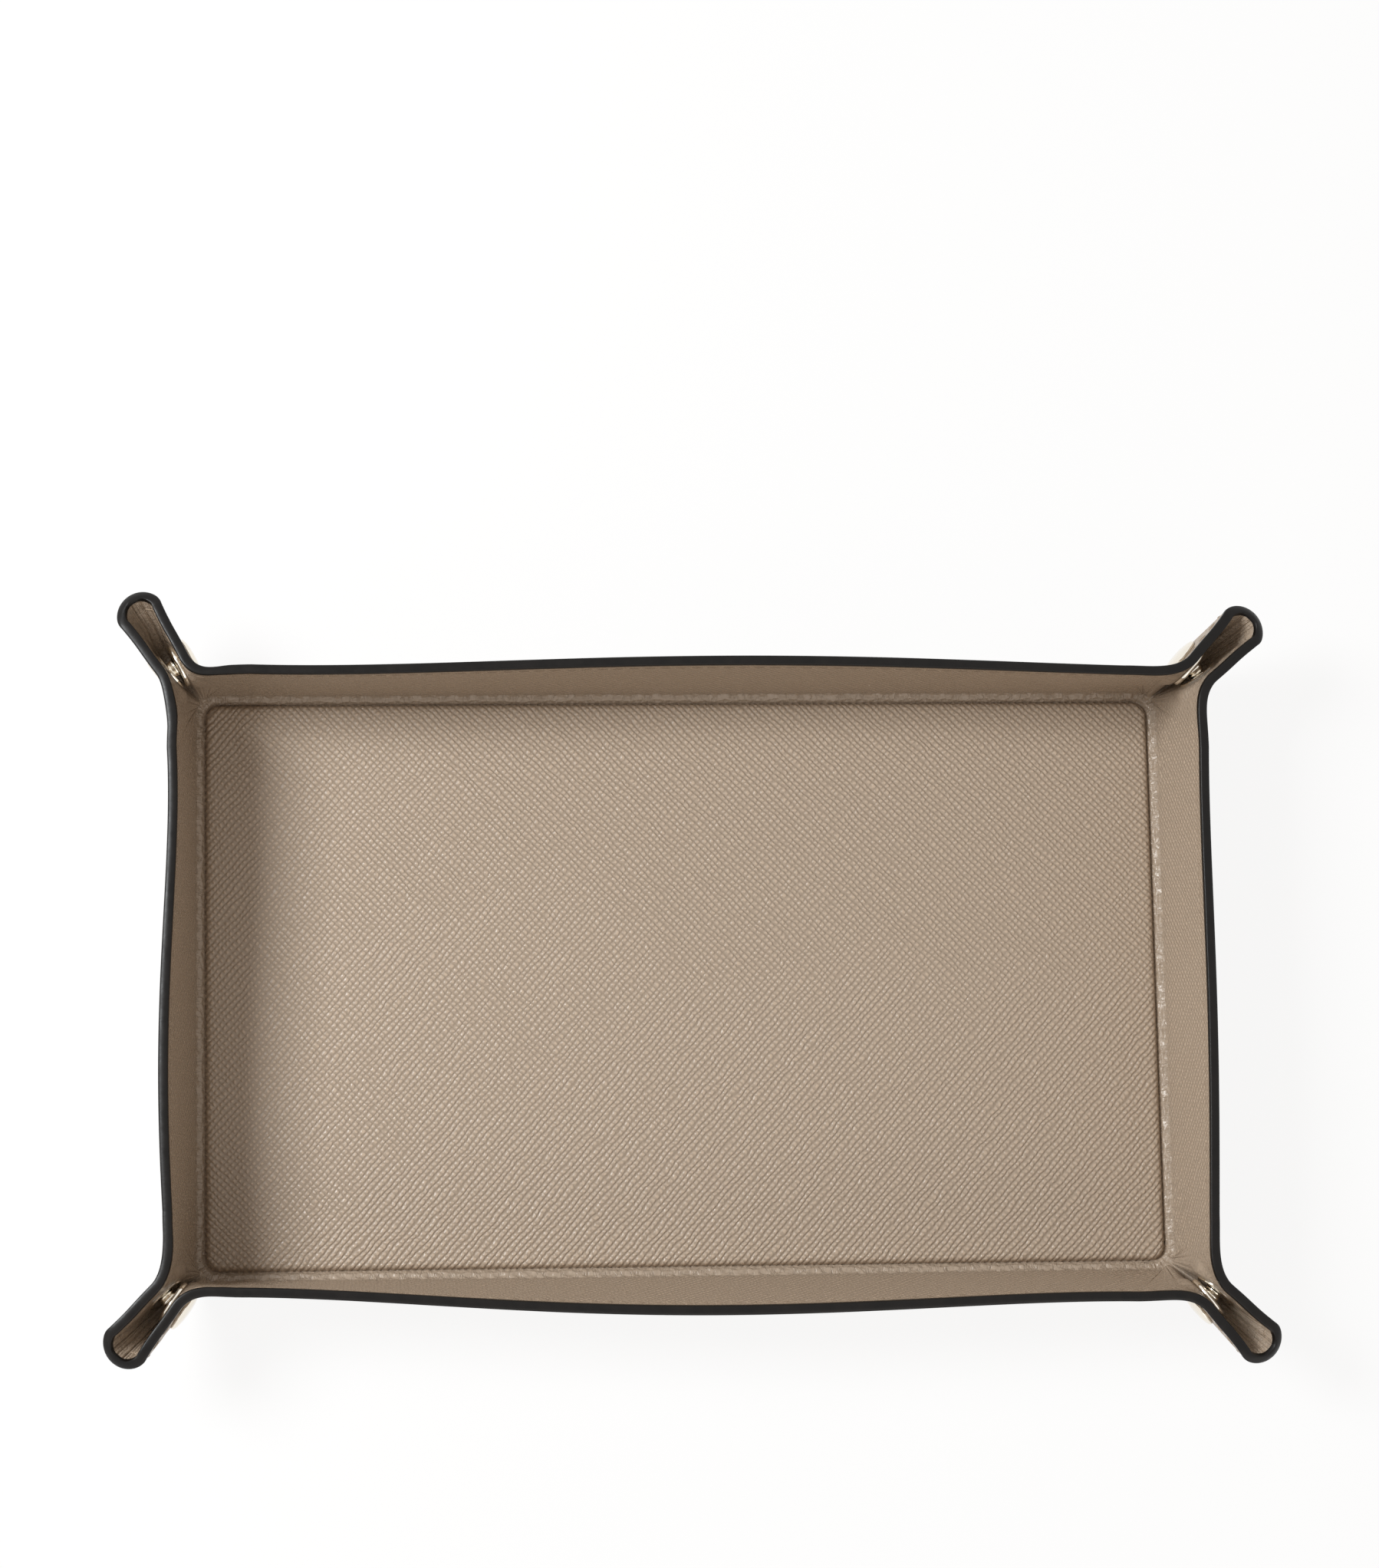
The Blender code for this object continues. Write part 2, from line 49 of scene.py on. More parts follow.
import bpy
import numpy as np
from bpy.props import FloatProperty, FloatVectorProperty, IntProperty, PointerProperty
from bpy.types import Operator, Panel, PropertyGroup
from mathutils import Matrix, Vector

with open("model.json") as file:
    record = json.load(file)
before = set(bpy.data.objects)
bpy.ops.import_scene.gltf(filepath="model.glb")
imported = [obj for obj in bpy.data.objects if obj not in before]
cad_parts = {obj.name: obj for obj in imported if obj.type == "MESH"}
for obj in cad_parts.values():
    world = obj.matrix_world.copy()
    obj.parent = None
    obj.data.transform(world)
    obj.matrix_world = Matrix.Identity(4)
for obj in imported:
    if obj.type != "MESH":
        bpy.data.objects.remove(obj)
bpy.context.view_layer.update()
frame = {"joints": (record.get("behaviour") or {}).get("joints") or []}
JOINTS = {joint["name"]: joint for joint in frame["joints"]}

MM = 0.001

# Fold lines, from the solids
FOLD_X = JOINTS["right_wall_fold"]["pos_m"][0]
FOLD_Y = JOINTS["back_wall_fold"]["pos_m"][1]
FOLD_Z = JOINTS["back_wall_fold"]["pos_m"][2]
EAR_ROOT = np.array(JOINTS["back_right_long_ear_bend"]["pos_m"]) - (FOLD_X, FOLD_Y, FOLD_Z)

# Blank and its folds
FLOOR_LENGTH = 200.5 * MM
FLOOR_WIDTH = 118.5 * MM
FLOOR_CORNER = 3.0 * MM
WALL_REACH = 26.0 * MM
WALL_TURN = radians(82.0)
CORNER_RADIUS = 11.0 * MM
EAR_FLARE = radians(3.0)
EAR_TURN = radians(50.316)
EAR_REACH = radians(33.007)
EAR_LIFT = 0.3 * MM
LOOP_CONE = radians(5.6)
LOOP_ROLL = radians(92.157)
ROLL_SHARE = 0.8
ROOT_LEAST = 0.8 * MM
PLANE_GAP = 0.02 * MM

# Soft bend at a wall's end: angles at the corner's root before and after the hinge line, the
# angle over which heights blend from the wall's to the ear's, and the curve's handles
BEND_BEFORE = radians(26.0)
BEND_AFTER = radians(9.0)
BEND_FADE = radians(38.0)
BEND_HANDLE = radians(12.0)

# Neck past the press stud, where the ear's halves draw together, and crown of the tip
NECK_TURN = radians(27.0)
NECK_WIDTH = radians(9.0)
NECK_PINCH = 0.25 * MM
LOOP_CROWN = 0.9 * MM

# Tongue inside each tip
TONGUE_SHARE = 0.4
TONGUE_FOOT = 5.0 * MM
TONGUE_DROP = 0.5 * MM
TONGUE_GRAIN_SHARE = 0.2

# Two heights at which points are found on the hinge line of an ear and of a loop
BAND_LOW = 4.0 * MM
BAND_HIGH = 20.0 * MM

# Grain: how much of it is left on the walls, how much of that goes at their foot and on a
# roll (1 is the lining, -1 the cover), where its directions change over, how far it wanders
# and how deep it is
WALL_GRAIN_SHARE = 0.88
FOOT_SMOOTH_SHARE = 0.7
ROLL_SMOOTH_SHARES = {1: 0.8, -1: 0.4}
WINNER_TURN = 85.0 * MM
WINNER_RATE_SHARE = 90.0
WANDER = 0.8 * MM
GRAIN_DEPTH = 0.36 * MM

# Skins, painted rim and thread: sizes, and how finely they are laid
SKIN = 0.7 * MM
WALL_HALF = 0.9 * MM
EAR_HALF = 0.95 * MM
LEATHER_TOP = 25.7 * MM
COVER_ROWS = 44
WALL_STEP = 0.5 * MM
EAR_COLUMNS = 60
LOOP_COLUMNS = 44
EAR_SEAM = 18.0 * MM
LOOP_SEAM = 6.0 * MM
LEAST_HEIGHT = 0.1 * MM
MERGE = 0.002 * MM
BEAD_DEPTH = 0.75 * MM
BEAD_DOME = 0.36 * MM
BEAD_PROUD = 0.06 * MM
BEAD_LAP = 0.1 * MM
BEAD_SINK = 0.05 * MM
PAINT_DEPTH = 0.12 * MM
STITCH_DROP = 2.9 * MM
STRAND_PITCH = 0.28 * MM
STRAND_DEPTH = 0.06 * MM
STITCH_WIDTH = 0.55 * MM
STITCH_HEIGHT = 0.42 * MM
STITCH_SAMPLE = 0.1 * MM
STITCH_LOOK = 0.2 * MM
SEAM_WIDTH = 0.45 * MM
SEAM_DEPTH = 0.1 * MM

# Section of a wall's two skins, as (distance up the wall, height off its middle) in mm:
# from the groove over the puckered strip at the foot and up to the rim
LINING_SECTION = (
    (0.22, 1.29), (1.0, 0.75), (1.34, 0.19), (1.9, -0.14), (3.4, -0.08),
    (10.0, 0.15), (18.0, 0.5), (24.4, 0.83), (25.1, 0.98), (25.7, 0.9),
)
COVER_SECTION = (
    (-1.34, 1.28), (-1.2, 0.3), (-1.07, -0.66), (-0.42, -1.68), (0.96, -2.19), (2.67, -2.1),
    (10.0, -1.8), (18.0, -1.35), (25.7, -0.9),
)

# Floor panel: how far its groove runs out and how high it lies, then the insets and rises in
# mm that pad the panel up from there
GROOVE_OUT = 0.45 * MM
GROOVE_LEVEL = 1.35 * MM
PANEL_STEPS = ((0.25, 0.0), (0.2, 0.15), (0.15, 0.45), (0.2, 0.45), (0.3, 0.28), (0.5, 0.12),
               (0.9, 0.0))

# Patch between the panel's corner and the ear: its gap to the panel, how far it reaches, and
# its section as distance out and height in mm
PATCH_GAP = 0.15 * MM
PATCH_REACH = 5.1 * MM
PATCH_SECTION = ((0, 1.45), (0.3, 1.7), (0.8, 2.25), (1.6, 2.5), (2.6, 2.75), (4.2, 3.0))
PATCH_GRAIN_SHARE = 0.4

# Outward bow of each rim in mm: at its middle, and more towards its right or back end
WALL_BOWS = {"back": (1.9, 1.4), "front": (3.2, -0.9), "left": (0.9, -1.4), "right": (0.5, -0.8)}

# The soft corners don't stand quite alike: each one's shift at the rim in mm, its ear's turn
# in degrees and how far its tip is drawn in, in mm
CORNER_SWAYS = {
    ("back", "left"): (-0.5, -1.6, -12.0, 1.3),
    ("back", "right"): (0.6, -2.4, -1.0, 1.6),
    ("front", "left"): (-1.3, 1.2, 4.0, 1.6),
    ("front", "right"): (-0.8, -1.9, -1.2, 1.8),
}
SWAY_FOOT = 3.0 * MM
SWAY_HEIGHT = 23.0 * MM
SWAY_PIVOT = 1.5 * MM
SWAY_START = -3.0 * MM
SWAY_LENGTH = 8.0 * MM
DRAW_START = 4.0 * MM
DRAW_LENGTH = 15.0 * MM

# Wrinkles: the strip at a wall's foot, the gathers at a corner's root, the creases at a tip
FOOT_MIDDLE = 1.5 * MM
FOOT_SPREAD = 1.1 * MM
PUCKER_DEPTH = 0.15 * MM
GATHER_MIDDLE = 5.0 * MM
GATHER_SPREAD = 9.0 * MM
GATHER_START = 2.0 * MM
CREASE_END = 0.7 * MM

# Press studs: distance from the bend and up it, and the flat seat that they press
SNAP_OFFSET = 5.0 * MM
SNAP_RISE = 17.5 * MM
SEAT_RADIUS = 7.0 * MM
SEAT_FADE = 2.0 * MM
TURN_STEPS = 64

# Direction of the sheet's parts at the back right corner's long half: X along the wall,
# Y out of the tray, Z up, from the point where the two wall folds would cross
ALONG = np.array((1.0, 0.0, 0.0))
UP_WALL = np.array((0.0, cos(WALL_TURN), sin(WALL_TURN)))
INWARD = np.array((0.0, -sin(WALL_TURN), cos(WALL_TURN)))
BEND = ALONG * sin(EAR_FLARE) + UP_WALL * cos(EAR_FLARE)
LEVEL = ALONG * cos(EAR_FLARE) - UP_WALL * sin(EAR_FLARE)
EAR_LEVEL = LEVEL * cos(EAR_TURN) - INWARD * sin(EAR_TURN)
EAR_FACE = INWARD * cos(EAR_TURN) + LEVEL * sin(EAR_TURN)
TO_WALL_SIDE = np.array((-1.0, 1.0, 0.0)) / sqrt(2)
OUTWARD = np.array((1.0, 1.0, 0.0)) / sqrt(2)
TANGENT = EAR_LEVEL * sin(EAR_REACH) + BEND * cos(EAR_REACH)
ASIDE = EAR_LEVEL * cos(EAR_REACH) - BEND * sin(EAR_REACH)
CONE_AXIS = TANGENT * cos(LOOP_CONE) + EAR_FACE * sin(LOOP_CONE)
LOOP_BRIDGE = EAR_ROOT @ TO_WALL_SIDE

CORNERS = [(wall, end) for wall in ("back", "front") for end in ("left", "right")]


def linear(code):
    """sRGB hex colour as the linear values that Blender's sockets take."""
    values = [int(code[at:at + 2], 16) / 255 for at in (1, 3, 5)]
    return tuple(v / 12.92 if v <= 0.04045 else ((v + 0.055) / 1.055) ** 2.4 for v in values)


def colour_setting(name, description, code):
    return FloatVectorProperty(name=name, description=description, subtype="COLOR",
                               default=linear(code), min=0, max=1)


def length_setting(name, description, usual, least, most):
    return FloatProperty(name=name, description=description, subtype="DISTANCE",
                         unit="LENGTH", default=usual, min=least, max=most)


class TraySettings(PropertyGroup):
    lining_colour: colour_setting("Lining", "Colour of the leather inside the tray", "#A99886")
    cover_colour: colour_setting("Cover", "Colour of the leather outside the tray", "#A3927F")
    paint_colour: colour_setting("Edge paint", "Colour of the painted rim", "#100D0B")
    metal_colour: colour_setting("Press studs", "Colour of the plated press studs", "#F4EDE0")
    thread_colour: colour_setting("Thread", "Colour of the rim stitching", "#9A8773")
    grain_pitch: length_setting(
        "Grain pitch", "Distance between the ridges of the cross grain",
        1.4 * MM, 0.3 * MM, 5 * MM)
    stitch_pitch: length_setting(
        "Stitch pitch", "Distance from one stitch to the next", 3.2 * MM, 1 * MM, 10 * MM)
    stitch_length: length_setting(
        "Stitch length", "Length of the thread that shows in each stitch",
        2.3 * MM, 0.5 * MM, 9 * MM)
    wrinkle_depth: length_setting(
        "Wrinkle depth", "Depth of the gathers at the corners", 0.14 * MM, 0, 1 * MM)
    lining_rows: IntProperty(
        name="Lining rows", description="Faces up the height of a lining",
        default=80, min=20, max=150)


# Small tools

def deselect():
    bpy.ops.object.select_all(action="DESELECT")


def only(piece):
    deselect()
    piece.select_set(True)
    bpy.context.view_layer.objects.active = piece


def run_along(points):
    """Distance along a line of points, at each of them."""
    return np.concatenate(((0,), np.cumsum(np.linalg.norm(np.diff(points, axis=0), axis=1))))


def read_at(places, run, values):
    """Values along a line, read off at the given distances."""
    return np.stack([np.interp(places, run, each) for each in values.T], axis=-1)


def smooth_line(points, count):
    """Even steps along a smooth curve through the points, which are in mm."""
    points = np.array(points) * MM
    padded = np.vstack((2 * points[0] - points[1], points, 2 * points[-1] - points[-2]))
    fine = []
    for index in range(len(points) - 1):
        a, b, c, d = padded[index:index + 4]
        for t in np.linspace(0, 1, 24, endpoint=False):
            fine.append(0.5 * (2 * b + (c - a) * t + (2 * a - 5 * b + 4 * c - d) * t ** 2
                               + (3 * b - a - 3 * c + d) * t ** 3))
    fine.append(points[-1])
    fine = np.array(fine)
    run = run_along(fine)
    return read_at(np.linspace(0, run[-1], count), run, fine)


# Sections by layer: 1 is the lining, -1 the cover
LINE_OF = {1: smooth_line(LINING_SECTION, 200), -1: smooth_line(COVER_SECTION, 200)}


def ease(share):
    share = np.clip(share, 0, 1)
    return share * share * (3 - 2 * share)


def mix(first, second, share):
    return first * (1 - share) + second * share


def column(values):
    return np.asarray(values)[:, None]


def waves(at, parts):
    """Sum of sines; each part is a wave number, a phase and a share."""
    return sum(share * np.sin(number * at + phase) for number, phase, share in parts)


# The folded sheet

def rim_reach(turn):
    """Distance from the corner's root to the blank's edge at an angle from the bend."""
    angle = EAR_FLARE + turn
    centre_x = WALL_REACH - CORNER_RADIUS - EAR_ROOT[0]
    centre_y = WALL_REACH - CORNER_RADIUS
    straight = WALL_REACH / np.cos(angle)
    along = centre_x * np.sin(angle) + centre_y * np.cos(angle)
    across = centre_x * np.cos(angle) - centre_y * np.sin(angle)
    rounded = along + np.sqrt(np.maximum(CORNER_RADIUS ** 2 - across ** 2, 0))
    return np.where(straight * np.sin(angle) <= centre_x, straight, rounded)


def reach_at(height, turn):
    rim = rim_reach(turn)
    return np.minimum(height, WALL_REACH) * rim / WALL_REACH + np.maximum(height - WALL_REACH, 0)


def flat_place(angle, reach):
    """Where a point of the corner lies on the flat blank."""
    return np.stack((EAR_ROOT[0] + reach * np.sin(angle), reach * np.cos(angle)), axis=1)


def neck(turn):
    """How far the sheet draws in towards the other half just past the press stud."""
    return np.exp(-((turn - NECK_TURN) / NECK_WIDTH) ** 2)


def ear_place(share, height, lift, ear_height, ear_lift):
    """Point and flat place on the ear half, from the wall's end round the soft bend to the
    loop. Heights and lifts blend from the wall's to the ear's."""
    turn = mix(-BEND_BEFORE, EAR_REACH, share)
    fade = ease((turn + BEND_BEFORE) / BEND_FADE)
    reach = reach_at(mix(height, ear_height, fade), turn)
    first = BEND * cos(BEND_BEFORE) - LEVEL * sin(BEND_BEFORE)
    leaving = first + (LEVEL * cos(BEND_BEFORE) + BEND * sin(BEND_BEFORE)) * BEND_HANDLE
    last = EAR_LEVEL * sin(BEND_AFTER) + BEND * cos(BEND_AFTER)
    coming = last - (EAR_LEVEL * cos(BEND_AFTER) - BEND * sin(BEND_AFTER)) * BEND_HANDLE
    along = column(np.clip((turn + BEND_BEFORE) / (BEND_AFTER + BEND_BEFORE), 0, 1))
    back = 1 - along
    soft = (first * back ** 3 + leaving * 3 * along * back ** 2 + coming * 3 * along ** 2 * back
            + last * along ** 3)
    onward = ((leaving - first) * back ** 2 + (coming - leaving) * 2 * along * back
              + (last - coming) * along ** 2)
    normal = np.cross(onward, soft)
    flat = EAR_LEVEL * column(np.sin(turn)) + BEND * column(np.cos(turn))
    beyond = column(turn > BEND_AFTER)
    direction = np.where(beyond, flat, soft)
    normal = np.where(beyond, EAR_FACE, normal / np.linalg.norm(normal, axis=1)[:, None])
    pinch = NECK_PINCH * neck(turn) * ease(reach / WALL_REACH)
    offset = mix(lift - EAR_LIFT, ear_lift, fade) + pinch
    point = EAR_ROOT + direction * column(reach) + normal * column(offset)
    from_snap = point - EAR_ROOT - EAR_LEVEL * SNAP_OFFSET - BEND * SNAP_RISE
    off_plane = from_snap @ EAR_FACE
    radius = np.linalg.norm(from_snap - column(off_plane) * EAR_FACE, axis=1)
    seat = ease((SEAT_RADIUS - radius) / SEAT_FADE)
    point = point + EAR_FACE * column((ear_lift - off_plane) * seat)
    return point, flat_place(EAR_FLARE + turn, reach), normal


def rotate_about(axis, vectors, angle):
    """Vectors turned about a unit axis, each by its own angle."""
    angle = column(angle)
    dots = (vectors @ axis)[:, None]
    return (vectors * np.cos(angle) + np.cross(axis, vectors) * np.sin(angle)
            + axis * dots * (1 - np.cos(angle)))


def loop_place(share, height, lift):
    """Point and flat place on the loop half: a roll round a cone, then the short flat piece
    to the other half. The pinched insides of the two halves meet and don't cross."""
    roll = LOOP_ROLL * np.clip(share / ROLL_SHARE, 0, 1)
    shift = LOOP_BRIDGE * np.clip((share - ROLL_SHARE) / (1 - ROLL_SHARE), 0, 1)
    turn = EAR_REACH + roll * sin(LOOP_CONE)
    reach = reach_at(height, turn)
    flat = TANGENT * column(reach) + ASIDE * column(shift)
    normal = rotate_about(CONE_AXIS, np.tile(EAR_FACE, (len(roll), 1)), -roll)
    past_neck = EAR_REACH + roll * sin(EAR_REACH)
    full = ease(reach / WALL_REACH)
    lift = lift + NECK_PINCH * neck(past_neck) * full
    point = EAR_ROOT + rotate_about(CONE_AXIS, flat, -roll) + normal * column(lift)
    point = point + OUTWARD * column(LOOP_CROWN * np.sin(share * pi / 2) ** 2 * full)
    short = np.maximum(PLANE_GAP - point @ TO_WALL_SIDE, 0)
    point = point + TO_WALL_SIDE * column(np.where(share < 1, short, 0))
    spot = flat_place(EAR_FLARE + turn, reach)
    across = EAR_FLARE + turn
    spot = spot + np.stack((np.cos(across), -np.sin(across)), axis=1) * column(shift)
    return point, spot, normal


def wall_place(share, height, lift, half, bow):
    """Point and flat place on a wall, at a share of the way from its left end."""
    side = 2 * share - 1
    lean = tan(EAR_FLARE - BEND_BEFORE)
    x = side * (half + EAR_ROOT[0] + np.maximum(height, 0) * lean)
    middle, uneven = bow
    swell = middle * (1 - side ** 2) ** 2 + uneven * side * (1 - side ** 2)
    bulge = swell * MM * np.clip(height / WALL_REACH, 0, 2)
    point = (ALONG * column(x) + UP_WALL * column(height) + INWARD * column(lift - bulge))
    return point, np.stack((x, height), axis=1), np.tile(INWARD, (len(x), 1))


# Placing the sheet's parts round the tray

def sides(wall, end):
    """1 at the right and the back, -1 at the left and the front."""
    return 1 if end == "right" else -1, 1 if wall == "back" else -1


def sway_weights(points):
    """Each corner's share in moving the points, and how high they stand."""
    right = ease(points[:, 0] / (FLOOR_LENGTH - 2 * FLOOR_CORNER) + 0.5)
    back = ease(points[:, 1] / (FLOOR_WIDTH - 2 * FLOOR_CORNER) + 0.5)
    lift = np.clip((points[:, 2] - SWAY_FOOT) / SWAY_HEIGHT, 0, 1.1)
    for wall, end in CORNERS:
        share = (right if end == "right" else 1 - right) * (back if wall == "back" else 1 - back)
        yield wall, end, share, lift


def sway(points):
    """Points of the upright sheet, moved as the soft corners really stand."""
    points = np.array(points, dtype=float)
    moved = points.copy()
    for wall, end, share, lift in sway_weights(points):
        shift_x, shift_y, turn, pull = CORNER_SWAYS[(wall, end)]
        side_x, side_y = sides(wall, end)
        past = (side_x * points[:, 0] - FOLD_X + side_y * points[:, 1] - FOLD_Y) / sqrt(2)
        angle = radians(turn) * ease((past - SWAY_START) / SWAY_LENGTH)
        angle = angle * np.clip(lift * 1.5, 0, 1) * (share > 0.6)
        x = points[:, 0] - side_x * (FOLD_X + SWAY_PIVOT)
        y = points[:, 1] - side_y * (FOLD_Y + SWAY_PIVOT)
        drawn = pull * np.maximum((past - DRAW_START) / DRAW_LENGTH, 0) * (share > 0.6) / sqrt(2)
        shift_x = shift_x * share - side_x * drawn
        shift_y = shift_y * share - side_y * drawn
        moved[:, 0] += x * (np.cos(angle) - 1) - y * np.sin(angle) + shift_x * MM * lift
        moved[:, 1] += x * np.sin(angle) + y * (np.cos(angle) - 1) + shift_y * MM * lift
    moved[:, 2] = np.maximum(moved[:, 2], PLANE_GAP)
    return moved


def corner_map(wall, end, half):
    """Matrix that turns the reference corner half into one of the eight."""
    out = Matrix.Diagonal((*sides(wall, end), 1))
    swap = Matrix(((0, 1, 0), (1, 0, 0), (0, 0, 1))) if half == "short" else Matrix.Identity(3)
    return np.array(out @ swap), np.array(out)


def to_corner(points, wall, end, half):
    turn, out = corner_map(wall, end, half)
    return points @ turn.T + (out @ np.array((FOLD_X, FOLD_Y, 0))) + (0, 0, FOLD_Z)


def level_points(spots):
    return np.hstack((spots, np.zeros((len(spots), 1))))


WALL_MAPS = {
    "back": ((1, 0, 0), (0, 1, 0)),
    "front": ((1, 0, 0), (0, -1, 0)),
    "right": ((0, 1, 0), (1, 0, 0)),
    "left": ((0, 1, 0), (-1, 0, 0)),
}


def wall_sizes(wall):
    """Half the distance between the cross folds, and the distance out to the wall's own."""
    return (FOLD_X, FOLD_Y) if wall in ("back", "front") else (FOLD_Y, FOLD_X)


def to_wall(points, wall):
    along, out = (np.array(way) for way in WALL_MAPS[wall])
    fold = wall_sizes(wall)[1]
    up = np.array((0, 0, 1))
    return (column(points[:, 0]) * along + column(points[:, 1] + fold) * out
            + column(points[:, 2] + FOLD_Z) * up)


# Modelling steps that several pieces share

def grid_object(name, columns, rows):
    deselect()
    bpy.ops.mesh.primitive_grid_add(x_subdivisions=columns, y_subdivisions=rows, size=1)
    piece = bpy.context.object
    piece.name = name
    piece.data.name = name
    return piece


def vertex_places(piece):
    places = np.empty(len(piece.data.vertices) * 3)
    piece.data.vertices.foreach_get("co", places)
    return places.reshape(-1, 3)


def grid_shares(piece):
    places = vertex_places(piece) + 0.5
    return places[:, 0], places[:, 1]


def add_mesh(name, points, edges, faces):
    mesh = bpy.data.meshes.new(name)
    mesh.from_pydata(points, edges, faces)
    piece = bpy.data.objects.new(name, mesh)
    bpy.context.collection.objects.link(piece)
    return piece


def open_edit(piece):
    only(piece)
    bpy.ops.object.mode_set(mode="EDIT")
    bpy.ops.mesh.select_all(action="SELECT")


def close_edit():
    """Turn all faces outward and leave edit mode."""
    bpy.ops.mesh.select_all(action="SELECT")
    bpy.ops.mesh.normals_make_consistent(inside=False)
    bpy.ops.object.mode_set(mode="OBJECT")


def set_places(piece, points):
    piece.data.vertices.foreach_set("co", np.asarray(points, dtype=np.float32).ravel())
    piece.data.update()


def set_flat_map(piece, spots, relief=1.0):
    """UV map that holds each point's place on the flat blank, seen from above in metres, and
    how much of the grain is left there: the leather is pulled smooth where it is rolled."""
    grain = piece.data.attributes.new("relief", "FLOAT", "POINT")
    grain.data.foreach_set("value", np.full(len(piece.data.vertices), relief, dtype=np.float32))
    layer = piece.data.uv_layers.active or piece.data.uv_layers.new(name="UVMap")
    corners = np.empty(len(piece.data.loops), dtype=np.int32)
    piece.data.loops.foreach_get("vertex_index", corners)
    layer.data.foreach_set("uv", spots[corners, :2].astype(np.float32).ravel())


def face_out(piece, normals):
    """Flip the faces if they look the other way than the given normals."""
    face = piece.data.polygons[len(piece.data.polygons) // 2]
    if Vector(normals[face.vertices[0]]).dot(face.normal) < 0:
        open_edit(piece)
        bpy.ops.mesh.flip_normals()
        bpy.ops.object.mode_set(mode="OBJECT")


def thicken(piece, thickness):
    shell = piece.modifiers.new("thickness", "SOLIDIFY")
    shell.thickness = thickness
    shell.offset = -1
    only(piece)
    bpy.ops.object.modifier_apply(modifier=shell.name)


def press_on_ground(piece):
    """Level what would stand below the ground with it."""
    places = vertex_places(piece)
    places[:, 2] = np.maximum(places[:, 2], 0)
    set_places(piece, places)


def smooth(piece, angle=50):
    only(piece)
    bpy.ops.object.shade_smooth_by_angle(angle=radians(angle))


def close_tube(piece):
    """Join the long seam of a rolled-up grid and cap its two ends."""
    open_edit(piece)
    bpy.ops.mesh.remove_doubles(threshold=MERGE)
    bpy.ops.mesh.fill_holes(sides=0)
    close_edit()


def dress(piece, material, slot, *replaced):
    piece.data.materials.clear()
    piece.data.materials.append(MATERIALS[material])
    if replaced:
        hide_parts(*replaced)


# Wrinkles and puckers, as height on the lining

def crease(at, seed):
    """Narrow valleys between broad rounds, one to each half turn, unevenly deep."""
    line = (1 - np.abs(np.sin(at + seed))) ** 3
    return -line * (0.75 + 0.25 * np.sin(0.73 * at + 2 * seed))


def gathers(angle, reach, depth, seed):
    """Radial creases where the leather gathers at the corner's root."""
    lines = crease(17 * angle, seed) + 0.6 * crease(29 * angle, 1.7 * seed)
    near = np.exp(-((reach - GATHER_MIDDLE) / GATHER_SPREAD) ** 2) * ease(reach / GATHER_START)
    return 2.4 * depth * lines * near


def tip_creases(share, height, depth, seed):
    """Creases that run down from the rim inside the tight end of a loop."""
    lines = crease(3.4 * pi * share, seed) + 0.5 * crease(7.1 * pi * share, 2.3 * seed)
    high = ease((height / WALL_REACH - 0.35) / 0.3) * ease((LEATHER_TOP - height) / CREASE_END)
    return depth * 3 * lines * high * ease((share + 0.1) / 0.3)


def foot_share(height):
    """One on the strip at the foot of a wall, fading to zero above and below."""
    return np.exp(-((height - FOOT_MIDDLE) / FOOT_SPREAD) ** 2)


def puckers(along, height, depth, seed):
    """Fine wrinkles on the strip at the foot of a wall: small ridges that slant both ways
    and cross."""
    along = along / MM
    up = height / MM
    swing = waves(along, ((0.23, seed, 1.2), (0.61, 1.9 * seed, 0.9), (1.1, seed, 0.5)))
    rising = np.sin(5.6 * up + 1.3 * along + swing)
    falling = np.sin(4.9 * up - 1.7 * along + 0.8 * swing + seed)
    return depth * np.maximum(rising, falling) * foot_share(height)


def stitch_groove(height):
    """The seam pulls the lining in along the stitches."""
    off = (height - (WALL_REACH - STITCH_DROP)) / SEAM_WIDTH
    return -SEAM_DEPTH * np.exp(-off ** 2)


# Materials

MATERIALS = {}


def set_inputs(tree, node, inputs):
    """An input is a value, a socket, or a node whose first output is taken."""
    for name, value in inputs.items():
        value = value.outputs[0] if isinstance(value, bpy.types.Node) else value
        if isinstance(value, bpy.types.NodeSocket):
            tree.links.new(value, node.inputs[name])
        else:
            node.inputs[name].default_value = value


def add_node(tree, kind, inputs=None, stops=(), **settings):
    """A node with its settings and inputs; stops are a colour ramp's places and colours."""
    node = tree.nodes.new("ShaderNode" + kind)
    for name, value in settings.items():
        setattr(node, name, value)
    set_inputs(tree, node, inputs or {})
    for index, (place, colour) in enumerate(stops):
        if index > 1:
            node.color_ramp.elements.new(place)
        node.color_ramp.elements[index].position = place
        node.color_ramp.elements[index].color = (*colour, 1.0)
    return node


def new_material(name, colour):
    """An empty surface and its shader; colour is shown in solid view."""
    material = bpy.data.materials.new(name)
    material.use_nodes = True
    material.diffuse_color = (*colour, 1.0)
    shader = material.node_tree.nodes["Principled BSDF"]
    set_inputs(material.node_tree, shader, {"Base Color": (*colour, 1.0)})
    return material, material.node_tree, shader


def grey(value):
    return (value, value, value)


def shade(colour, factor):
    return tuple(min(channel * factor, 1.0) for channel in colour)


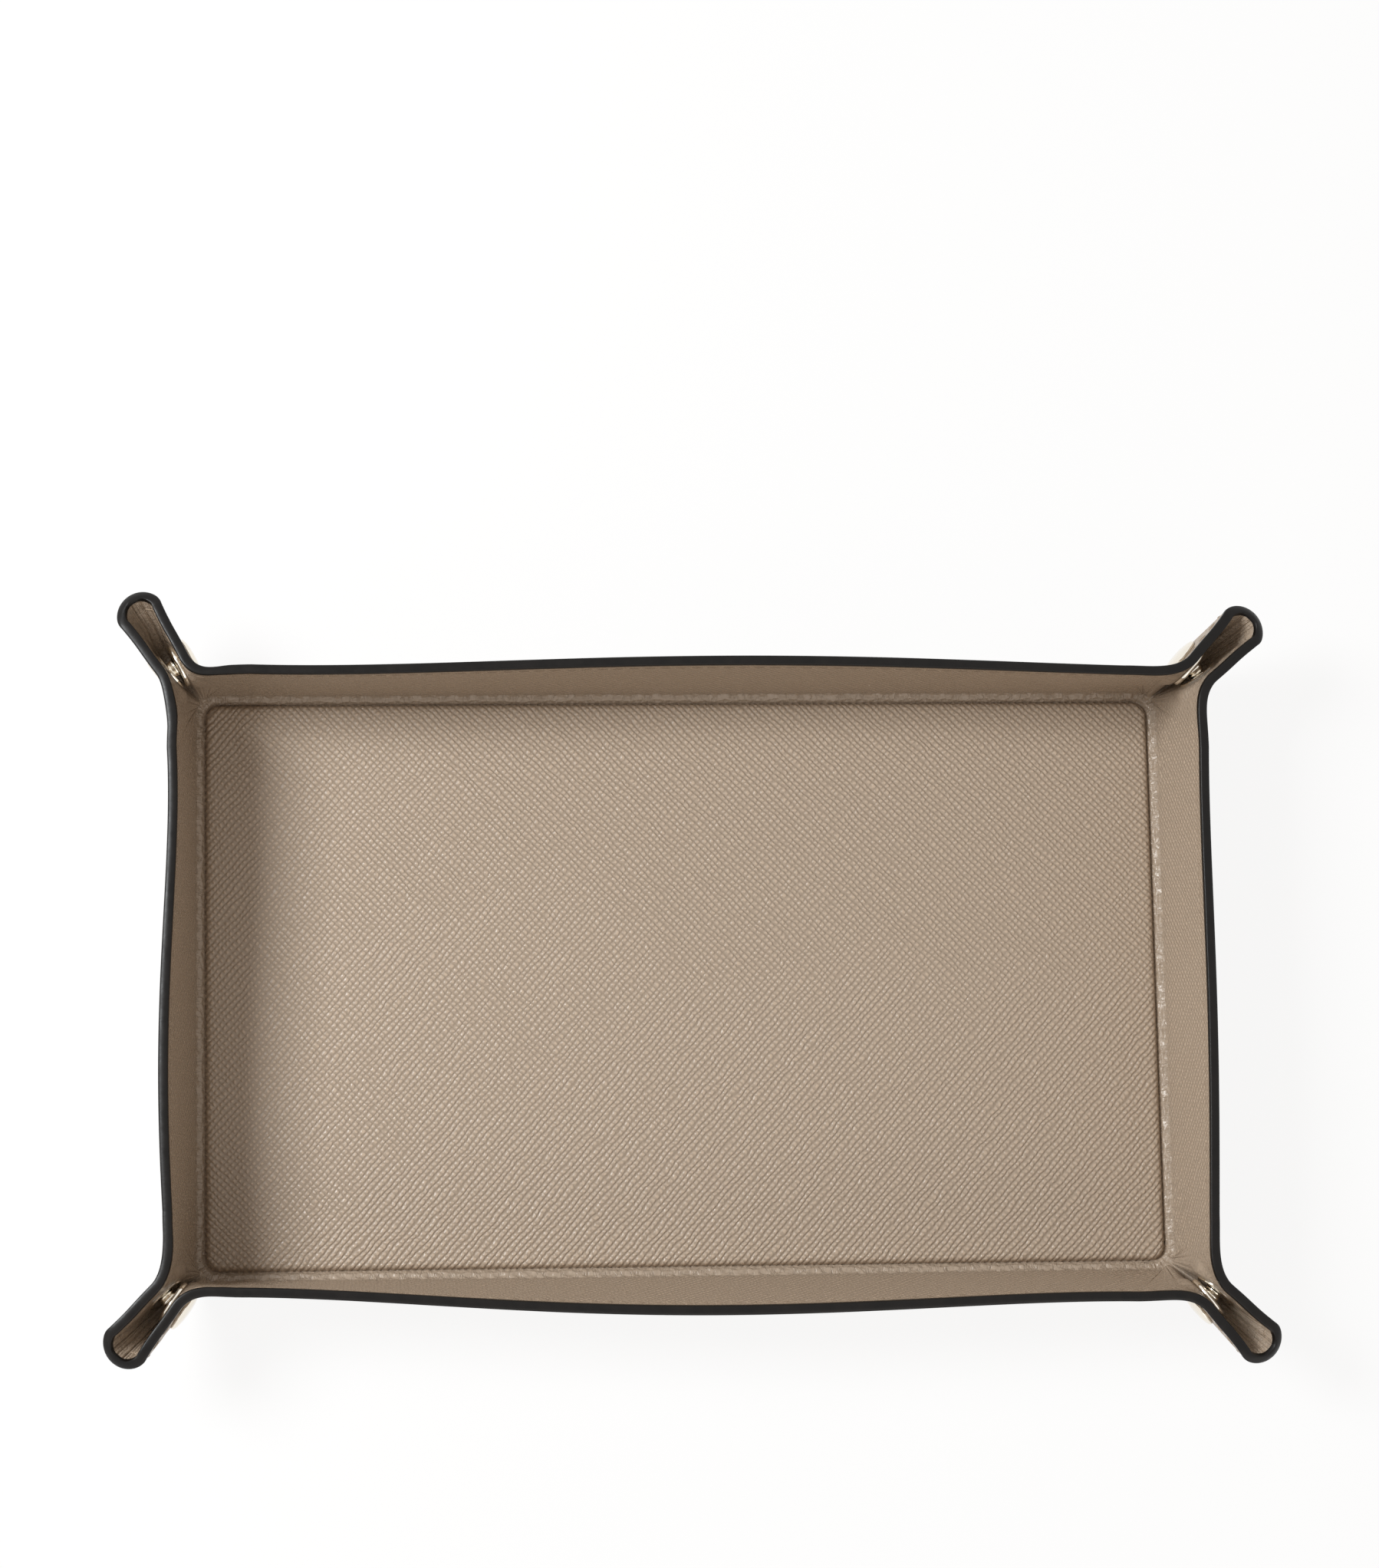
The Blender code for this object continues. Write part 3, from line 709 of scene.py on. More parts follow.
def leather_material(name, colour, pitch):
    """Calf boarded by hand in two slanting directions and waxed. That leaves long soft
    ridges; one direction wins from place to place, the other cuts its ridges into small
    grains whose tops shine. Its colour carries painted shade in the valleys and creases and
    a painted highlight on the grain tops. A noise's scale counts its spots to the metre."""
    material, tree, shader = new_material(name, colour)
    flat = add_node(tree, "UVMap", uv_map="UVMap")

    # The hide wanders a little under the boards
    wander = add_node(tree, "TexNoise", {
        "Vector": flat, "Scale": 380.0, "Detail": 3.0, "Roughness": 0.6})
    wander = add_node(tree, "VectorMath", {
        0: wander.outputs["Color"], 1: grey(WANDER)}, operation="MULTIPLY")
    place = add_node(tree, "VectorMath", {0: flat, 1: wander}, operation="ADD")

    # Which direction wins: the rising one to the back left and all along the front right
    patches = add_node(tree, "TexNoise", {
        "Vector": flat, "Scale": 40.0, "Detail": 5.0, "Roughness": 0.6})
    axes = add_node(tree, "SeparateXYZ", {0: flat})
    lie = add_node(tree, "Math", {
        0: axes.outputs["X"], 1: WINNER_TURN}, operation="ADD")
    lie = add_node(tree, "Math", {
        0: lie, 1: axes.outputs["Y"]}, operation="MULTIPLY")
    lie = add_node(tree, "Math", {
        0: lie, 1: -WINNER_RATE_SHARE, 2: patches}, operation="MULTIPLY_ADD")

    # A wave texture repeats every 2 pi / 20 of its scale. It is stretched three times along
    # its ridges, so that they waver, merge and end. Its valleys are narrow, its tops broad.
    grains = 1.0
    for slant, closer, least, most in ((46, 1.3, 0.8, 0.4), (-42, 1.25, 0.55, 0.85)):
        turned = add_node(tree, "Mapping", {
            "Vector": place, "Rotation": (0, 0, radians(slant)), "Scale": (1, 3, 1),
        }, vector_type="TEXTURE")
        ridges = add_node(tree, "TexWave", {
            "Vector": turned, "Scale": 2 * pi / (20 * pitch) * closer, "Distortion": 3.2,
            "Detail": 2.0, "Detail Scale": 1.4, "Detail Roughness": 0.5})
        valleys = add_node(tree, "ValToRGB", {"Fac": ridges}, stops=(
            (0.0, grey(0.05)), (0.25, grey(0.4)), (0.6, grey(0.82)), (1.0, grey(1.0))))
        share = add_node(tree, "ValToRGB", {"Fac": lie}, stops=(
            (0.36, grey(least)), (0.64, grey(most))))
        cut = add_node(tree, "Mix", {"Factor": share, "A": 1.0, "B": valleys})
        grains = add_node(tree, "Math", {0: grains, 1: cut}, operation="MULTIPLY")
    pores = add_node(tree, "TexNoise", {
        "Vector": flat, "Scale": 1250.0, "Detail": 3.0, "Roughness": 0.6})
    height = add_node(tree, "Mix", {"Factor": 0.40, "A": grains, "B": pores})

    # Where the leather is pulled smooth, fine creases wind over it instead of the grain
    relief = add_node(tree, "Attribute", attribute_name="relief")
    creases = add_node(tree, "TexNoise", {
        "Vector": flat, "Scale": 620.0, "Detail": 3.0, "Roughness": 0.55})
    creases = add_node(tree, "ValToRGB", {"Fac": creases}, stops=(
        (0.44, grey(0.46)), (0.5, grey(0.14)), (0.56, grey(0.46))))
    height = add_node(tree, "Mix", {
        "Factor": relief.outputs["Fac"], "A": creases, "B": height})
    # Colour from height: painted shade darkens the valleys and creases, and a painted highlight
    # lightens the grain tops; the tops' real shine is the lower roughness below
    tint = add_node(tree, "ValToRGB", {"Fac": height}, stops=(
        (0.2, shade(colour, 0.84)), (0.42, shade(colour, 0.96)), (0.62, colour),
        (0.76, shade(colour, 1.36))))
    shine = add_node(tree, "ValToRGB", {"Fac": height}, stops=(
        (0.2, grey(0.48)), (0.55, grey(0.27))))
    bump = add_node(tree, "Bump", {
        "Height": height, "Strength": 0.9, "Distance": GRAIN_DEPTH})
    set_inputs(tree, shader, {"Base Color": tint, "Roughness": shine, "Normal": bump, "IOR": 1.48})
    return material


def paint_material(name, colour):
    """Edge paint brushed on in coats: near black, softly shiny, a little wavy."""
    material, tree, shader = new_material(name, colour)
    place = add_node(tree, "TexCoord").outputs["Object"]
    wavy = add_node(tree, "TexNoise", {"Vector": place, "Scale": 420.0, "Detail": 3.0})
    tint = add_node(tree, "ValToRGB", {"Fac": wavy}, stops=(
        (0.3, shade(colour, 0.8)), (0.7, shade(colour, 1.3))))
    shine = add_node(tree, "ValToRGB", {"Fac": wavy}, stops=(
        (0.3, grey(0.28)), (0.7, grey(0.42))))
    bump = add_node(tree, "Bump", {
        "Height": wavy, "Strength": 0.4, "Distance": PAINT_DEPTH})
    set_inputs(tree, shader, {
        "Base Color": tint, "Roughness": shine, "Normal": bump, "Specular IOR Level": 0.22})
    return material


def metal_material(name, colour):
    """Pale gold plate over brass, pressed and barrel polished: bright, with faint scuffs."""
    material, tree, shader = new_material(name, colour)
    place = add_node(tree, "TexCoord").outputs["Object"]
    scuffs = add_node(tree, "TexNoise", {
        "Vector": place, "Scale": 900.0, "Detail": 4.0, "Roughness": 0.7})
    shine = add_node(tree, "ValToRGB", {"Fac": scuffs}, stops=(
        (0.35, grey(0.06)), (0.75, grey(0.18))))
    tint = add_node(tree, "ValToRGB", {"Fac": scuffs}, stops=(
        (0.3, shade(colour, 0.94)), (0.7, colour)))
    set_inputs(tree, shader, {"Base Color": tint, "Roughness": shine, "Metallic": 1.0})
    return material


def thread_material(name, colour):
    """Waxed polyester thread: twisted, so each stitch carries slanted strands."""
    material, tree, shader = new_material(name, colour)
    place = add_node(tree, "TexCoord").outputs["Object"]
    turned = add_node(tree, "Mapping", {
        "Vector": place, "Rotation": (0, 0, radians(35))})
    twist = add_node(tree, "TexWave", {
        "Vector": turned, "Scale": 2 * pi / (20 * STRAND_PITCH), "Distortion": 0.4})
    tint = add_node(tree, "ValToRGB", {"Fac": twist}, stops=(
        (0.1, shade(colour, 0.7)), (0.8, shade(colour, 1.1))))
    bump = add_node(tree, "Bump", {
        "Height": twist, "Strength": 0.5, "Distance": STRAND_DEPTH})
    set_inputs(tree, shader, {"Base Color": tint, "Roughness": 0.55, "Normal": bump})
    return material


class TRAY_OT_materials(Operator):
    """Mix the leather, edge paint, thread and plated metal"""
    bl_idname = "tray.materials"
    bl_label = "Tray materials"

    def execute(self, context):
        look = context.scene.tray
        pitch = look.grain_pitch
        MATERIALS.update({
            "lining": leather_material("cross-grain calf lining", look.lining_colour, pitch),
            "cover": leather_material("cross-grain calf cover", look.cover_colour, pitch),
            "paint": paint_material("black edge paint", look.paint_colour),
            "metal": metal_material("pale gold plated brass", look.metal_colour),
            "thread": thread_material("waxed polyester thread", look.thread_colour),
        })
        return {"FINISHED"}


# Floor

def rounded_panel(name, length, width, corner, height):
    """A flat plate in one face with its corners rounded in edit mode."""
    deselect()
    bpy.ops.mesh.primitive_plane_add(size=1, location=(0, 0, height))
    piece = bpy.context.object
    piece.name = name
    piece.data.name = name
    piece.scale = (length, width, 1)
    bpy.ops.object.transform_apply(location=True, scale=True)
    open_edit(piece)
    bpy.ops.mesh.bevel(offset=corner, segments=10, affect="VERTICES")
    bpy.ops.mesh.select_all(action="SELECT")
    return piece


class TRAY_OT_floor(Operator):
    """Lay the padded floor panel, the groove round it and the cover underneath"""
    bl_idname = "tray.floor"
    bl_label = "Floor"

    def execute(self, context):
        lining = rounded_panel("floor_lining_skin", FLOOR_LENGTH + 2 * GROOVE_OUT,
                               FLOOR_WIDTH + 2 * GROOVE_OUT, FLOOR_CORNER + GROOVE_OUT,
                               GROOVE_LEVEL)
        for inward, upward in PANEL_STEPS:
            bpy.ops.mesh.inset(thickness=inward * MM, depth=upward * MM)
        bpy.ops.object.mode_set(mode="OBJECT")
        set_flat_map(lining, vertex_places(lining))
        thicken(lining, SKIN)
        smooth(lining, 60)
        dress(lining, "lining", "lining_leather", "floor_lining", "floor_board")
        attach(lining, "floor")

        cover = rounded_panel("floor_cover_skin", FLOOR_LENGTH, FLOOR_WIDTH, FLOOR_CORNER, 0)
        bpy.ops.mesh.extrude_region_move(TRANSFORM_OT_translate={"value": (0, 0, SKIN)})
        close_edit()
        set_flat_map(cover, vertex_places(cover))
        smooth(cover)
        dress(cover, "cover", "cover_leather", "floor_cover")
        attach(cover, "floor")
        for wall, end in CORNERS:
            self.gather(context, wall, end)
        return {"FINISHED"}

    def gather(self, context, wall, end):
        """The bit of leather that gathers between the panel's corner and the ear."""
        depth = context.scene.tray.wrinkle_depth
        seed = 1.0 + CORNERS.index((wall, end)) * 1.7
        piece = grid_object(f"{wall}_{end}_gather", 60, 26)
        turn_share, out_share = grid_shares(piece)
        angle = turn_share * pi / 2
        inner = FLOOR_CORNER + PATCH_GAP
        limit = PATCH_REACH / np.maximum(np.cos(angle), np.sin(angle))
        radius = mix(inner, limit, out_share)
        heights = smooth_line(PATCH_SECTION, 80)
        z = np.interp(radius - inner, heights[:, 0], heights[:, 1])
        folds = waves(angle, ((23, seed, 0.6), (37, 1.9 * seed, 0.4)))
        z = z + depth * 1.3 * folds * ease(out_share * 2)
        side_x, side_y = sides(wall, end)
        centre_x = FLOOR_LENGTH / 2 - FLOOR_CORNER
        centre_y = FLOOR_WIDTH / 2 - FLOOR_CORNER
        x = side_x * (centre_x + radius * np.cos(angle))
        y = side_y * (centre_y + radius * np.sin(angle))
        points = np.stack((x, y, z), axis=1)
        set_places(piece, points)
        set_flat_map(piece, points, PATCH_GRAIN_SHARE)
        face_out(piece, np.tile((0.0, 0.0, 1.0), (len(x), 1)))
        thicken(piece, SKIN / 2)
        smooth(piece)
        dress(piece, "lining", "lining_leather")
        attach(piece, "floor")


# Skins of the folded sheet

def bead_section():
    """Closed section of the painted rim, as distance from the rim and height, in metres."""
    half = WALL_HALF + BEAD_PROUD
    points = [(-BEAD_DEPTH, half), (-BEAD_DEPTH / 2, half + BEAD_PROUD / 2), (-BEAD_LAP, half)]
    for turn in np.linspace(pi / 2 - 0.3, -pi / 2 + 0.3, 9):
        points.append((BEAD_DOME * cos(turn) ** 0.8 - BEAD_SINK, half * sin(turn)))
    points += [(-BEAD_LAP, -half), (-BEAD_DEPTH / 2, -half - BEAD_PROUD / 2),
               (-BEAD_DEPTH, -half), (-BEAD_DEPTH, 0), (-BEAD_DEPTH, half)]
    return np.array(points)


def along_line(line, share):
    steps = np.linspace(0, 1, len(line))
    return np.interp(share, steps, line[:, 0]), np.interp(share, steps, line[:, 1])


def lay_skin(name, columns, rows, layer, lay, smoothed):
    """A grid laid on the fold, with closer rows at its foot. lay gives points, flat places
    and normals for shares along the piece and heights up it; smoothed is the share of the
    grain that a roll takes away."""
    piece = grid_object(name, columns, rows)
    share, up = grid_shares(piece)
    height, lift = along_line(LINE_OF[layer], up ** 1.55)
    points, spots, normals = lay(share, height, lift, layer)
    set_places(piece, points)
    kept = 1 - FOOT_SMOOTH_SHARE * foot_share(height)
    set_flat_map(piece, spots, WALL_GRAIN_SHARE * (1 - smoothed * ease(share * 2)) * kept)
    face_out(piece, normals * layer)
    thicken(piece, SKIN)
    press_on_ground(piece)
    smooth(piece)
    return piece


def lay_bead(name, columns, lay):
    """The painted rim, rolled up from a grid and closed."""
    section = bead_section()
    piece = grid_object(name, columns, len(section) - 1)
    share, round_share = grid_shares(piece)
    drop, lift = along_line(section, round_share)
    points, spots, _ = lay(share, WALL_REACH + drop, lift, 0)
    set_places(piece, points)
    set_flat_map(piece, spots)
    close_tube(piece)
    smooth(piece)
    return piece


def stitch_mesh(length):
    """One stitch: a drop of thread, thick in the middle and sunk at its ends."""
    deselect()
    bpy.ops.mesh.primitive_uv_sphere_add(segments=8, ring_count=6, radius=0.5)
    bead = bpy.context.object
    places = np.array([tuple(v.co) for v in bead.data.vertices])
    faces = [tuple(face.vertices) for face in bead.data.polygons]
    bpy.data.objects.remove(bead, do_unlink=True)
    shape = places[:, [2, 0, 1]] * (length, STITCH_WIDTH, STITCH_HEIGHT)
    return shape, faces


def lay_stitches(name, settings, lay, layer, length_hint):
    """Stitches along a rim; lay is sampled finely and walked at the stitch pitch."""
    shape, faces = stitch_mesh(settings.stitch_length)
    count = int(length_hint / STITCH_SAMPLE)
    share = np.linspace(0, 1, count)
    height = np.full(count, WALL_REACH - STITCH_DROP)
    lift = np.interp(height, LINE_OF[layer][:, 0], LINE_OF[layer][:, 1])
    points, _, normals = lay(share, height, lift, layer)
    run = run_along(points)
    number = max(int(run[-1] / settings.stitch_pitch), 1)
    stops = (np.arange(number) + 0.5) * run[-1] / number
    at = stops[:, None] + shape[:, 0]
    ahead = read_at(at + STITCH_LOOK, run, points) - read_at(at - STITCH_LOOK, run, points)
    ahead /= np.linalg.norm(ahead, axis=-1, keepdims=True)
    faced = read_at(at, run, normals * layer)
    faced -= ahead * np.sum(ahead * faced, axis=-1, keepdims=True)
    faced /= np.linalg.norm(faced, axis=-1, keepdims=True)
    all_points = (read_at(at, run, points) + np.cross(faced, ahead) * shape[:, 1:2]
                  + faced * shape[:, 2:3])
    all_faces = [tuple(index * len(shape) + corner for corner in face)
                 for index in range(number) for face in faces]
    piece = add_mesh(name, all_points.reshape(-1, 3).tolist(), [], all_faces)
    open_edit(piece)
    close_edit()
    smooth(piece, 80)
    return piece


def lay_panel(name, settings, lay, columns, length, smoothed, solids):
    """Lining, cover, painted rim and both seams of one panel of the sheet. columns are those
    of lining, cover and rim; solids names what lining, cover and rim stand for."""
    lining = lay_skin(name + "_lining_skin", columns[0], settings.lining_rows, 1, lay,
                      smoothed[1])
    dress(lining, "lining", "lining_leather", *solids[0])
    cover = lay_skin(name + "_cover_skin", columns[1], COVER_ROWS, -1, lay, smoothed[-1])
    dress(cover, "cover", "cover_leather", *solids[1])
    rim = lay_bead(name + "_painted_rim", columns[2], lay)
    dress(rim, "paint", "edge_paint", *solids[2])
    pieces = [lining, cover, rim]
    for layer, side in ((1, "inner"), (-1, "outer")):
        seam = lay_stitches(f"{name}_{side}_stitches", settings, lay, layer, length)
        dress(seam, "thread", "lining_leather" if layer == 1 else "cover_leather")
        pieces.append(seam)
    return pieces


class TRAY_OT_walls(Operator):
    """Fold up the four walls with their linings, covers, painted rims and stitches"""
    bl_idname = "tray.walls"
    bl_label = "Walls"

    def execute(self, context):
        settings = context.scene.tray
        for wall, bow in WALL_BOWS.items():
            half, fold = wall_sizes(wall)
            seed = 1.3 + fold / MM

            def lay(share, height, lift, layer):
                x = (2 * share - 1) * half
                if layer == 1:
                    pucker = puckers(x, height, PUCKER_DEPTH, seed) / sqrt(2)
                    lift = lift + pucker + stitch_groove(height)
                    height = height + pucker
                    from_root = half + EAR_ROOT[0] - np.abs(x)
                    angle = -np.arctan2(from_root, np.maximum(height, LEAST_HEIGHT))
                    reach = np.hypot(from_root, height)
                    lift = lift + gathers(angle, reach, settings.wrinkle_depth, seed)
                point, spot, normal = wall_place(share, height, lift, half, bow)
                direction = to_wall(normal, wall) - to_wall(np.zeros((1, 3)), wall)
                return sway(to_wall(point, wall)), to_wall(level_points(spot), wall), direction

            columns = int(2 * half / WALL_STEP)
            body = wall + "_wall"
            solids = ((body + "_lining", body + "_board"), (body + "_cover",), (body + "_edge",))
            lining, cover, *others = lay_panel(
                body, settings, lay, (columns, columns // 3, columns // 2), 2 * half,
                {1: 0, -1: 0}, solids)
            for piece in (lining, cover):
                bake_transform(piece)
            for piece in others:
                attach(piece, body)
        return {"FINISHED"}


def each_half():
    for wall, end in CORNERS:
        for half in ("long", "short"):
            yield wall, end, half


def corner_lay(wall, end, half, place, wrinkle):
    """Lay function of one corner half, in the tray's frame."""
    turn, _ = corner_map(wall, end, half)

    def lay(share, height, lift, layer):
        point, spot, normal = place(share, height, lift, layer, wrinkle)
        spot = to_corner(level_points(spot), wall, end, half)
        return sway(to_corner(point, wall, end, half)), spot, normal @ turn.T

    return lay


def lay_ear(share, height, lift, layer, wrinkle):
    ear_height = np.maximum(height, ROOT_LEAST)
    ear_lift = layer * EAR_HALF if layer else lift * (EAR_HALF / WALL_HALF)
    if layer == 1:
        turn = mix(-BEND_BEFORE, EAR_REACH, share)
        dent = gathers(EAR_FLARE + turn, ear_height, *wrinkle) + stitch_groove(height)
        lift = lift + dent
        ear_lift = ear_lift + dent
    return ear_place(share, height, lift, ear_height, ear_lift)


def lay_loop(share, height, lift, layer, wrinkle):
    height = np.maximum(height, ROOT_LEAST)
    lift = np.full_like(height, layer * EAR_HALF) if layer else lift * (EAR_HALF / WALL_HALF)
    if layer == 1:
        turn = EAR_REACH + LOOP_ROLL * sin(LOOP_CONE) * np.clip(share / ROLL_SHARE, 0, 1)
        lift = lift + gathers(EAR_FLARE + turn, height, *wrinkle) + stitch_groove(height)
        lift = lift + tip_creases(share, height, *wrinkle)
    return loop_place(share, height, lift)


class TRAY_OT_ears(Operator):
    """Bend the eight ear halves outward and roll their loops"""
    bl_idname = "tray.ears"
    bl_label = "Ears and loops"

    def execute(self, context):
        settings = context.scene.tray
        for number, (wall, end, half) in enumerate(each_half()):
            seed = 2.0 + 1.37 * number
            wrinkle = (settings.wrinkle_depth, seed)
            key = f"{wall}_{end}_{half}"
            carrier = (wall if half == "long" else end) + "_wall"
            for kind, place, carrying, columns, length in (
                ("ear", lay_ear, carrier, EAR_COLUMNS, EAR_SEAM),
                ("loop", lay_loop, f"{key}_ear", LOOP_COLUMNS, LOOP_SEAM),
            ):
                lay = corner_lay(wall, end, half, place, wrinkle)
                name = f"{key}_{kind}"
                solids = ((name + "_lining",), (name + "_cover",), ())
                if kind == "loop":
                    solids = ((name,), (name,), ())
                pieces = lay_panel(name, settings, lay, (columns, columns // 2, columns),
                                   length, ROLL_SMOOTH_SHARES, solids)
                self.join(pieces, lay, kind, carrying, name)
        for wall, end in CORNERS:
            self.tongue(wall, end)
        return {"FINISHED"}

    def tongue(self, wall, end):
        """A narrow tongue inside the tip, in the thickness of the sheet: it covers the joint
        of the two halves when the tray is opened flat."""
        lay = corner_lay(wall, end, "long", lay_loop, (0.0, 1.0))
        piece = grid_object(f"{wall}_{end}_tip_tongue", 8, 40)
        inward, up = grid_shares(piece)
        height = mix(TONGUE_FOOT, WALL_REACH - TONGUE_DROP, up)
        points, spots, normals = lay(1 - inward * TONGUE_SHARE, height, height * 0, 0)
        set_places(piece, points)
        set_flat_map(piece, spots, TONGUE_GRAIN_SHARE)
        face_out(piece, normals)
        thicken(piece, SKIN / 2)
        smooth(piece)
        dress(piece, "lining", "lining_leather")
        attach(piece, f"{wall}_{end}_short_loop")

    def join(self, pieces, lay, kind, carrying, carried):
        """Bake each piece's place into its mesh; the hinge line's points are worked out but not
        used.
        """
        hinge = BEND_BEFORE / (EAR_REACH + BEND_BEFORE) if kind == "ear" else 0.0
        share = np.array((hinge, hinge, 1.0))
        height = np.array((BAND_LOW, BAND_HIGH, BAND_HIGH))
        low, high, far = (Vector(point) for point in lay(share, height, height * 0, 0)[0])
        for piece in pieces:
            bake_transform(piece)


# Press studs: profiles as radius and height off the ear's middle, in mm

CAP_PROFILE = (
    (0.0, 1.3), (1.25, 1.3), (1.4, 1.15), (1.4, -0.95), (4.3, -0.95), (4.55, -1.05),
    (4.62, -1.25), (4.6, -1.5), (4.35, -1.72), (3.6, -2.0), (2.4, -2.22), (1.2, -2.33),
    (0.0, -2.36),
)
SOCKET_PROFILE = (
    (1.55, 0.96), (4.1, 0.96), (4.34, 1.02), (4.53, 1.2), (4.62, 1.42), (4.62, 1.64),
    (4.55, 1.86), (4.4, 2.04), (4.15, 2.14), (3.6, 2.12), (3.3, 1.98), (3.0, 1.98),
    (2.75, 2.12), (2.45, 2.14), (2.3, 2.0),
    (2.3, 1.75), (2.75, 1.6), (2.9, 1.4), (2.8, 1.27), (1.55, 1.27),
)
STUD_PROFILE = (
    (0.0, 3.05), (1.3, 3.05), (1.7, 2.9), (1.9, 2.6), (1.9, 2.3), (1.72, 1.95),
    (1.7, 1.5), (1.85, 1.36), (3.4, 1.33), (3.7, 1.42), (4.05, 1.38), (4.2, 1.2),
    (4.18, 0.97), (1.55, 0.96), (1.5, 1.3), (1.35, 2.65), (0.0, 2.7),
)
POST_PROFILE = (
    (0.0, 1.28), (1.4, 1.28), (1.4, -0.95), (4.2, -0.95), (4.38, -1.1), (4.38, -1.35),
    (4.2, -1.5), (2.2, -1.55), (1.9, -1.35), (0.0, -1.3),
)


def turned_piece(name, profile):
    """Turn a profile about Z: its outline is drawn, spun through a full turn and closed."""
    points = [(radius * MM, 0, height * MM) for radius, height in profile]
    edges = [(index, index + 1) for index in range(len(points) - 1)]
    if profile[0][0] > 0:
        edges.append((len(points) - 1, 0))
    piece = add_mesh(name, points, edges, [])
    open_edit(piece)
    bpy.ops.mesh.spin(steps=TURN_STEPS, angle=2 * pi, center=(0, 0, 0), axis=(0, 0, 1))
    bpy.ops.mesh.select_all(action="SELECT")
    bpy.ops.mesh.remove_doubles(threshold=MERGE)
    close_edit()
    return piece


class TRAY_OT_press_studs(Operator):
    """Set the four press studs through the ears"""
    bl_idname = "tray.press_studs"
    bl_label = "Press studs"

    def execute(self, context):
        middle = EAR_ROOT + EAR_LEVEL * SNAP_OFFSET + BEND * SNAP_RISE
        for wall, end, half in each_half():
            turn, _ = corner_map(wall, end, half)
            reach = np.array((np.zeros(3), EAR_LEVEL, BEND)) * MM + middle
            centre, aside, upper = sway(to_corner(reach, wall, end, half))
            level = Vector(aside - centre).normalized()
            face = level.cross(Vector(upper - centre)).normalized()
            if face.dot(Vector(turn @ EAR_FACE)) < 0:
                face.negate()
            axes = Matrix((level, face.cross(level), face)).transposed().to_4x4()
            place = Matrix.Translation(Vector(centre)) @ axes
            kinds = (("cap", CAP_PROFILE), ("socket", SOCKET_PROFILE))
            if half == "short":
                kinds = (("stud", STUD_PROFILE), ("post", POST_PROFILE))
            for kind, profile in kinds:
                node = f"{wall}_{end}_snap_{kind}"
                piece = turned_piece(node + "_metal", profile)
                piece.data.transform(place)
                smooth(piece, 35)
                dress(piece, "metal", "snap_metal", node)
                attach(piece, f"{wall}_{end}_{half}_ear")
        return {"FINISHED"}


# Stage

PHOTO_WIDTH = 1798
PHOTO_HEIGHT = 2044
CAMERA_PLACE = (-0.066, -0.051, 0.650)
CAMERA_TILT = (radians(6.52), radians(-2.79), radians(-0.70))
FOCAL_PIXELS = 4040.4
VIEW_CENTRE = (682.6, 1141.6)
SENSOR = 36.0

# Lamps: name, place and side in metres, power in watts, colour
LAMPS = (
    ("key light", (-0.72, 0.24, 0.71), 0.36, 10.0, (0.96, 0.985, 1.0)),
    ("fill light", (0.30, -1.10, 0.62), 1.0, 2.9, (1.0, 0.93, 0.86)),
)
SKY_COLOUR = (1.0, 0.90, 0.80, 1.0)
SKY_STRENGTH = 0.37
WHITE = (1, 1, 1, 1)
GROUND_SIZE = 6.0
GROUND_DROP = 0.05 * MM
GROUND_WHITE_SHARE = 0.88


